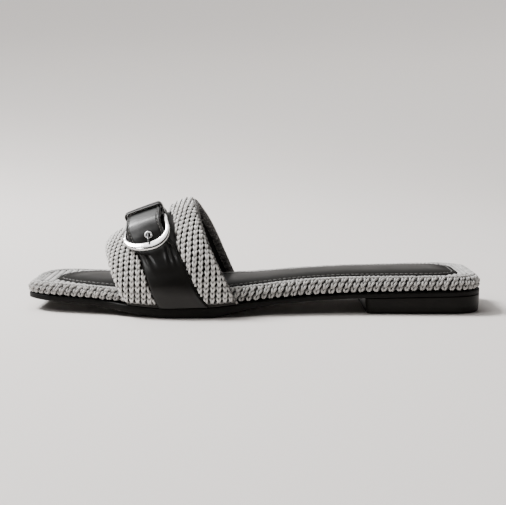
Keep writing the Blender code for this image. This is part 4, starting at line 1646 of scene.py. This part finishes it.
class SANDAL_OT_strap(bpy.types.Operator):
    """Make both ends of the strap, its keeper and its stitches"""
    bl_idname = "sandal.strap"
    bl_label = "Strap"

    def execute(self, context):
        leather = context.scene.sandal_leather
        look = leather_look(
            "strap_leather", leather.strap, rough=0.33, grain=1900.0, depth=0.1, specular=0.27)
        places = np.concatenate((
            np.linspace(MEASURE[0][0], STRAP_FINE, 40)[:-1], np.linspace(STRAP_FINE, 0, 90)[:-1],
            np.linspace(0, FREE_END, 40)))
        heights = strap_floor(places) + strap_lift(places) + STRAP_THICK / 2
        free = self.ribbon(
            "strap_free_end", places, heights, STRAP_THICK, self.free_half, look, free=True)
        piece("strap_free", free, "strap_leather", "strap_free_end")

        thick = BUCKLE_END_THICK
        lying = np.linspace(MEASURE[0][-1], BAR_PLACE + TURN_START, 60)
        bar = bar_height()
        turns = np.radians(np.linspace(-90, -390, 40))
        places = np.concatenate((lying, BAR_PLACE + TURN_RADIUS * np.cos(turns)))
        heights = np.concatenate((
            strap_floor(lying) + thick / 2, bar + TURN_RADIUS * np.sin(turns)))
        buckle = self.ribbon("strap_buckle_end", places, heights, thick, self.buckle_half, look)
        piece("strap_buckle", buckle, "strap_leather", "strap_buckle_end")
        piece("strap_keeper_loop", self.keeper(look), "strap_leather", "strap_keeper")
        self.stitches(leather)
        return {"FINISHED"}

    def free_half(self, place):
        """Half the free end's width along the foot, rounded at its tip."""
        tip = rounded_end((FREE_END - place) / FREE_ROUND, FREE_BLUNT)
        return strap_half(strap_t(place)) * tip

    def buckle_half(self, place):
        """Half the buckle end's width along the foot, narrower at the bar."""
        t = strap_t(place)
        return strap_half(t) * (1 - BUCKLE_END_TAPER * (1 - smooth(-0.06, 0.02, t)))

    def ribbon(self, name, places, heights, thick, half, look, free=False):
        """A strap with rounded edges along a path of places and heights."""
        run = unit(np.stack((np.gradient(places), np.gradient(heights)), 1))
        out = np.stack((-run[:, 1], run[:, 0]), 1)
        wide = half(places) * FOOT_TO_WIDTH
        top = [(x, 1.0) for x in np.linspace(-0.88, 0.88, 53)]
        under = [(x, -1.0) for x in np.linspace(0.94, -0.94, 12)]
        mirrored = [(-x, y) for x, y in reversed(STRAP_CORNER)]
        section = [*STRAP_CORNER, *top, *mirrored, *under]
        columns = []
        for across, side in section:
            lift = side * thick / 2
            if free and side > 0.5:
                lift = lift + pleats(places, across * wide) + hem(places, across * wide, wide)
            spots = places + out[:, 0] * lift
            beside = across * wide + settle(places)
            tilt = free_tilt(places, across) if free else 0.0
            columns.append(on_strap(spots, beside, heights + out[:, 1] * lift + tilt))
        return loft(name, np.stack(columns, 1), [look])

    def keeper(self, look):
        """The keeper: up one side of the strap, over it and down the other."""
        wide = STRAP_WIDE * FOOT_TO_WIDTH + KEEPER_SLACK
        corner = KEEPER_CORNER
        bend = np.linspace(0, math.pi / 2, 8)
        path = [(-wide, share, 0.0, -1.0, 0.0) for share in np.linspace(0, 1, 8)]
        path += [(-wide + corner * (1 - np.cos(a)), 1.0, corner * np.sin(a), -np.cos(a), np.sin(a))
                 for a in bend]
        path += [(x, 1.0, corner, 0.0, 1.0) for x in np.linspace(-wide + corner, 0, 8)[1:]]
        path += [(-x, s, h, -nx, ny) for x, s, h, nx, ny in path[-2::-1]]
        middle, reach = (KEEPER_START + KEEPER_END) / 2, (KEEPER_END - KEEPER_START) / 2
        turns = np.linspace(0, TURN, 28, endpoint=False)
        place = middle + reach * squarish(np.cos(turns), KEEPER_FLAT)
        tall = (squarish(np.sin(turns), KEEPER_TALL) + 1) / 2 * KEEPER_THICK
        floor = strap_floor(place)
        rows = []
        for x, share, rise, side, up in path:
            tilt = free_tilt(place, x / wide)
            tall_side = strap_lift(place) + tilt + STRAP_THICK + 2 * GAP - corner
            height = floor + tall_side * share + rise + up * tall
            rows.append(on_strap(place, x + side * tall, height))
        return loft("strap_keeper_loop", np.array(rows), [look])

    def stitches(self, leather):
        """Two rows of dark stitches in the grooves of the free end's hem."""
        thread = leather_look(
            "strap_thread", shade(leather.strap, 12.0), rough=0.5, grain=2000.0, depth=0.2)
        lines = []
        for side in (-1, 1):
            places = np.linspace(*STITCHED, 60)
            across = side * (self.free_half(places) * FOOT_TO_WIDTH - STITCH_INSET)
            height = strap_floor(places) + strap_lift(places) + STRAP_THICK
            height = height + pleats(places, across) + free_tilt(places, side * 0.8) - STITCH_SINK
            lines.append(on_strap(places, across + settle(places), height))
        values = {"Stitch pitch": leather.stitch * 0.8, "Thread radius": leather.thread}
        grown("strap_stitches", lines, stitch_tree(thread), values, "strap_leather")


def prong_across(place):
    """The prong leaves the bar in the middle and lies slanted from the eyelet to the ring."""
    slant = PRONG_SLANT * np.minimum(place - EYELET_PLACE, 0.0)
    return EYELET_ACROSS * (1 - smooth(*PRONG_ASIDE, place)) + slant


def bar_height():
    """Height of the ring's bar, round which the buckle end turns."""
    return strap_floor(BAR_PLACE) + TURN_RADIUS + BUCKLE_END_THICK / 2


def flowing(points, steps, closed=False):
    """A smooth line through points, passing each of them."""
    points = np.asarray(points, float)
    if closed:
        ring = np.concatenate((points[-1:], points, points[:2]))
    else:
        ring = np.concatenate((2 * points[:1] - points[1:2], points, 2 * points[-1:] - points[-2:-1]))
    t = np.linspace(0, 1, steps, endpoint=False)[:, None]
    line = []
    for a, b, c, d in zip(ring, ring[1:], ring[2:], ring[3:]):
        line.append(0.5 * (2 * b + (c - a) * t + (2 * a - 5 * b + 4 * c - d) * t ** 2
                           + (3 * b - a - 3 * c + d) * t ** 3))
    line = np.concatenate(line)
    return line if closed else np.concatenate((line, points[-1:]))


class SANDAL_OT_buckle(bpy.types.Operator):
    """Make the ring, its prong and the eyelet"""
    bl_idname = "sandal.buckle"
    bl_label = "Buckle"

    def execute(self, context):
        metal = context.scene.sandal_metal
        look = metal_look("buckle_metal", metal.colour, metal.polish)
        piece("buckle_ring", self.ring(look), "buckle_metal", "buckle_frame")
        # The prong is the ring's metal darkened as painted shade, for the dark it reflects
        pin = metal_look("pin_metal", shade(metal.colour, 0.12), metal.polish + 0.14)
        satin = metal_look("eyelet_metal", metal.colour, metal.polish + 0.16)
        piece("buckle_pin", self.prong(pin), "buckle_metal", "buckle_prong")
        piece("eyelet_ring", self.eyelet(satin), "buckle_metal", "strap_eyelet")
        return {"FINISHED"}

    def ring(self, look):
        """The D-shaped ring: broad at its round tip, slim at its sides, a bar under the strap."""
        centre = TIP_PLACE + FRAME_HALF
        turns = np.radians(np.linspace(0, 180, 91))
        drop = np.sin(turns)
        path = np.stack((
            FRAME_HALF * np.cos(turns), centre - FRAME_HALF * drop,
            FRAME_SIDE + (FRAME_TIP - FRAME_SIDE) * drop ** 2,
            FRAME_LEVEL + (FRAME_TIP_LEVEL - FRAME_LEVEL) * drop,
            np.full_like(turns, FRAME_THICK)), 1).tolist()
        low = bar_height()
        side = []
        for share, narrow in SHANKS:
            place = centre + (BAR_PLACE - centre) * share
            level = FRAME_LEVEL + (low - FRAME_LEVEL) * share
            side.append((FRAME_HALF * narrow, place, FRAME_SIDE, level, FRAME_THICK))
        bar = [(x, BAR_PLACE, 2 * BAR_RADIUS, low, 2 * BAR_RADIUS) for x in BAR_SPOTS]
        path += [(-x, *rest) for x, *rest in side] + bar + side[::-1]
        path = flowing(path, 2, closed=True)
        run = unit((np.roll(path, -1, 0) - np.roll(path, 1, 0))[:, :2])
        out = np.stack((run[:, 1], -run[:, 0]), 1)
        columns = []
        for turn in np.radians(np.arange(0, 360, 15)):
            flat = squarish(math.cos(turn), FRAME_SQUARE) / 2
            tall = squarish(math.sin(turn), FRAME_SQUARE) / 2
            away = path[:, 2] * flat
            spot = path[:, 1] + out[:, 1] * away
            straight = FRAME_ACROSS + FRAME_TURN * (BAR_PLACE - spot) - buckle_shift(spot)
            beside = path[:, 0] + out[:, 0] * away + straight
            columns.append(on_strap(spot, beside, path[:, 3] + path[:, 4] * tall))
        return loft("buckle_ring", np.stack(columns, 1), [look], closed=True)

    def prong(self, look):
        """A bent wire: round the bar, up through the eyelet and down onto the ring's tip."""
        low = bar_height()
        under = strap_floor(EYELET_PLACE) + strap_lift(EYELET_PLACE)
        over = FRAME_TIP_LEVEL + FRAME_THICK / 2
        radius = BAR_RADIUS + GAP + PRONG_RADIUS
        turns = np.radians(np.linspace(205, 450, 13))
        path = [(BAR_PLACE + radius * math.cos(a), low + radius * math.sin(a)) for a in turns]
        # Its bends, set off from the bar, the eyelet, the strap's face and the ring's tip
        path += [
            (BAR_PLACE - 6.0, low + 1.5), (EYELET_PLACE + 3.2, under - 0.75),
            (EYELET_PLACE + 1.2, under - 0.75), (EYELET_PLACE + 0.4, under + 0.2),
            (EYELET_PLACE - 0.15, under + STRAP_THICK + 0.5),
            (EYELET_PLACE - 1.1, under + STRAP_THICK + 1.3), (EYELET_PLACE - 5.0, over + 0.9),
            (TIP_PLACE + 2.0, over + 0.75), (TIP_PLACE + 0.5, over + 0.7),
        ]
        line = flowing(path, 4)
        run = unit(np.gradient(line, axis=0))
        out = np.stack((-run[:, 1], run[:, 0]), 1)
        taper = PRONG_RADIUS * np.sqrt(np.clip(np.linspace(0, len(line), len(line)) / 3.0, 0.1, 1))
        taper = np.minimum(taper, taper[::-1])
        columns = []
        for turn in np.radians(np.arange(0, 360, 30)):
            spot = line + out * (taper * math.cos(turn))[:, None]
            beside = prong_across(spot[:, 0]) + taper * math.sin(turn)
            columns.append(on_strap(spot[:, 0], beside, spot[:, 1]))
        return loft("buckle_pin", np.stack(columns, 1), [look])

    def eyelet(self, look):
        """A turned metal rim, square to the strap where it lies."""

        def spot(place, across):
            height = strap_floor(place) + strap_lift(place) + STRAP_THICK
            return on_strap(place, EYELET_ACROSS + across, height)

        centre = spot(EYELET_PLACE, 0.0)
        run = unit(spot(EYELET_PLACE + 1, 0.0) - spot(EYELET_PLACE - 1, 0.0))
        wide = unit(spot(EYELET_PLACE, 1.0) - spot(EYELET_PLACE, -1.0))
        out = unit(np.cross(wide, run))
        out = -out if out[2] < 0 else out
        rows = []
        for turn in np.linspace(0, TURN, 40, endpoint=False):
            arm = run * math.cos(turn) + wide * math.sin(turn)
            rows.append([centre + arm * lip.radius + out * lip.height for lip in EYELET_LIPS])
        return loft("eyelet_ring", np.array(rows), [look], closed=True)


class SANDAL_OT_stage(bpy.types.Operator):
    """Set the floor, the lights and the camera"""
    bl_idname = "sandal.stage"
    bl_label = "Stage"

    def execute(self, context):
        stage = context.scene.sandal_stage
        self.floor(stage)
        context.scene.world = self.room(stage)
        for lamp in LAMPS:
            self.light(lamp.name + "_light", getattr(stage, lamp.name), lamp.size, lamp.place)

        eye = bpy.data.cameras.new("photo_camera")
        eye.lens = stage.lens
        eye.sensor_width = SENSOR
        camera = bpy.data.objects.new("photo_camera", eye)
        camera.location = (CAMERA_SIDE, -stage.distance, stage.height)
        camera.rotation_euler = (math.pi / 2 - stage.pitch, 0.0, 0.0)
        context.scene.collection.objects.link(camera)
        context.scene.camera = camera
        return {"FINISHED"}

    def room(self, stage):
        """Soft light from above and behind, darker all round."""
        world = bpy.data.worlds.new("studio_room")
        world.use_nodes = True
        nodes, links = world.node_tree.nodes, world.node_tree.links
        room = nodes["Background"]
        room.inputs["Strength"].default_value = stage.sky
        way = nodes.new("ShaderNodeTexCoord")
        side = nodes.new("ShaderNodeVectorMath")
        side.operation = "DOT_PRODUCT"
        side.inputs[1].default_value = ROOM_WAY
        ramp = nodes.new("ShaderNodeValToRGB")
        for stop, (place, tone) in zip(ramp.color_ramp.elements, ROOM_TONES):
            stop.position = place
            stop.color = (*shade(ROOM_TINT, tone), 1.0)
        links.new(way.outputs["Generated"], side.inputs[0])
        links.new(side.outputs["Value"], ramp.inputs["Fac"])
        links.new(ramp.outputs["Color"], room.inputs["Color"])
        return world

    def floor(self, stage):
        """A flat floor that rises softly into a backdrop on every side and glows there."""
        look = Look("studio_floor", {
            "Roughness": 0.85, "Base Color": (*stage.floor, 1.0), "Emission Strength": stage.glow})
        far = look.node("ShaderNodeVectorMath", {"operation": "LENGTH"}, {0: look.place()}, 1)
        share = look.node("ShaderNodeMapRange", {"interpolation_type": "SMOOTHSTEP"}, {
            "Value": far, "From Min": GLOW_REACH[0], "From Max": GLOW_REACH[1]})
        side = look.node("ShaderNodeSeparateXYZ", {}, {0: look.place()}, "Y")
        behind = look.node("ShaderNodeMapRange", {"interpolation_type": "SMOOTHSTEP"}, {
            "Value": side, "From Min": GLOW_SIDE[0], "From Max": GLOW_SIDE[1], "To Min": GLOW_FRONT})
        glow = look.between((0.0, 0.0, 0.0), shade(stage.floor, 1.0), share * behind)
        bend = np.linspace(0, FLOOR_ANGLE, 24)
        end_reach, end_rise = FLOOR_END
        reach = np.concatenate((FLOOR_RINGS, FLOOR_FLAT + FLOOR_BEND * np.sin(bend), [end_reach]))
        rise = np.concatenate(([0.0, 0.0], FLOOR_BEND * (1 - np.cos(bend)), [end_rise]))
        turns = np.linspace(0, TURN, 96, endpoint=False)
        rings = np.stack(np.broadcast_arrays(
            reach[:, None] * np.cos(turns), reach[:, None] * np.sin(turns), rise[:, None]), -1)
        index = np.arange(len(reach) * len(turns)).reshape(-1, len(turns))
        low, high = index[:-1], index[1:]
        quads = np.stack((low, high, np.roll(high, -1, 1), np.roll(low, -1, 1)), -1).reshape(-1, 4)
        mesh = bpy.data.meshes.new("studio_floor")
        mesh.from_pydata(rings.reshape(-1, 3).tolist(), [], quads.tolist() + [index[0].tolist()])
        mesh.materials.append(look.paint({"Emission Color": glow}))
        mesh.polygons.foreach_set("use_smooth", [True] * len(mesh.polygons))
        made = bpy.data.objects.new("studio_floor", mesh)
        bpy.context.scene.collection.objects.link(made)

    def light(self, name, power, size, place, goal=(0.0, 0.0, 0.0)):
        """An area light at a place, turned to its goal."""
        lamp = bpy.data.lights.new(name, "AREA")
        lamp.energy = power
        lamp.size = size
        made = bpy.data.objects.new(name, lamp)
        made.location = place
        aim = Vector(goal) - made.location
        made.rotation_euler = aim.to_track_quat("-Z", "Y").to_euler()
        bpy.context.scene.collection.objects.link(made)


class SANDAL_PT_panel(bpy.types.Panel):
    """Lists the sandal's pieces and settings"""
    bl_label = "Flat slide sandal"
    bl_idname = "SANDAL_PT_panel"
    bl_space_type = "VIEW_3D"
    bl_region_type = "UI"
    bl_category = "Sandal"

    def draw(self, context):
        for made in OPERATORS:
            self.layout.operator(made.bl_idname)
        for name, group in SETTINGS.items():
            box = self.layout.box()
            for key in group.__annotations__:
                box.prop(getattr(context.scene, name), key)


SETTINGS = {
    "sandal_knit": SandalKnit,
    "sandal_leather": SandalLeather,
    "sandal_sole": SandalSole,
    "sandal_metal": SandalMetal,
    "sandal_stage": SandalStage,
}
OPERATORS = (
    SANDAL_OT_sole,
    SANDAL_OT_footbed,
    SANDAL_OT_insole,
    SANDAL_OT_band,
    SANDAL_OT_strap,
    SANDAL_OT_buckle,
    SANDAL_OT_stage,
)


def register():
    for made in (*SETTINGS.values(), *OPERATORS, SANDAL_PT_panel):
        bpy.utils.register_class(made)
    for name, group in SETTINGS.items():
        setattr(bpy.types.Scene, name, bpy.props.PointerProperty(type=group))


def unregister():
    for name in SETTINGS:
        delattr(bpy.types.Scene, name)
    for made in reversed((*SETTINGS.values(), *OPERATORS, SANDAL_PT_panel)):
        bpy.utils.unregister_class(made)


def main():
    register()
    bpy.ops.sandal.sole()
    bpy.ops.sandal.footbed()
    bpy.ops.sandal.insole()
    bpy.ops.sandal.band()
    bpy.ops.sandal.strap()
    bpy.ops.sandal.buckle()
    bpy.ops.sandal.stage()


if __name__ == "__main__":
    main()
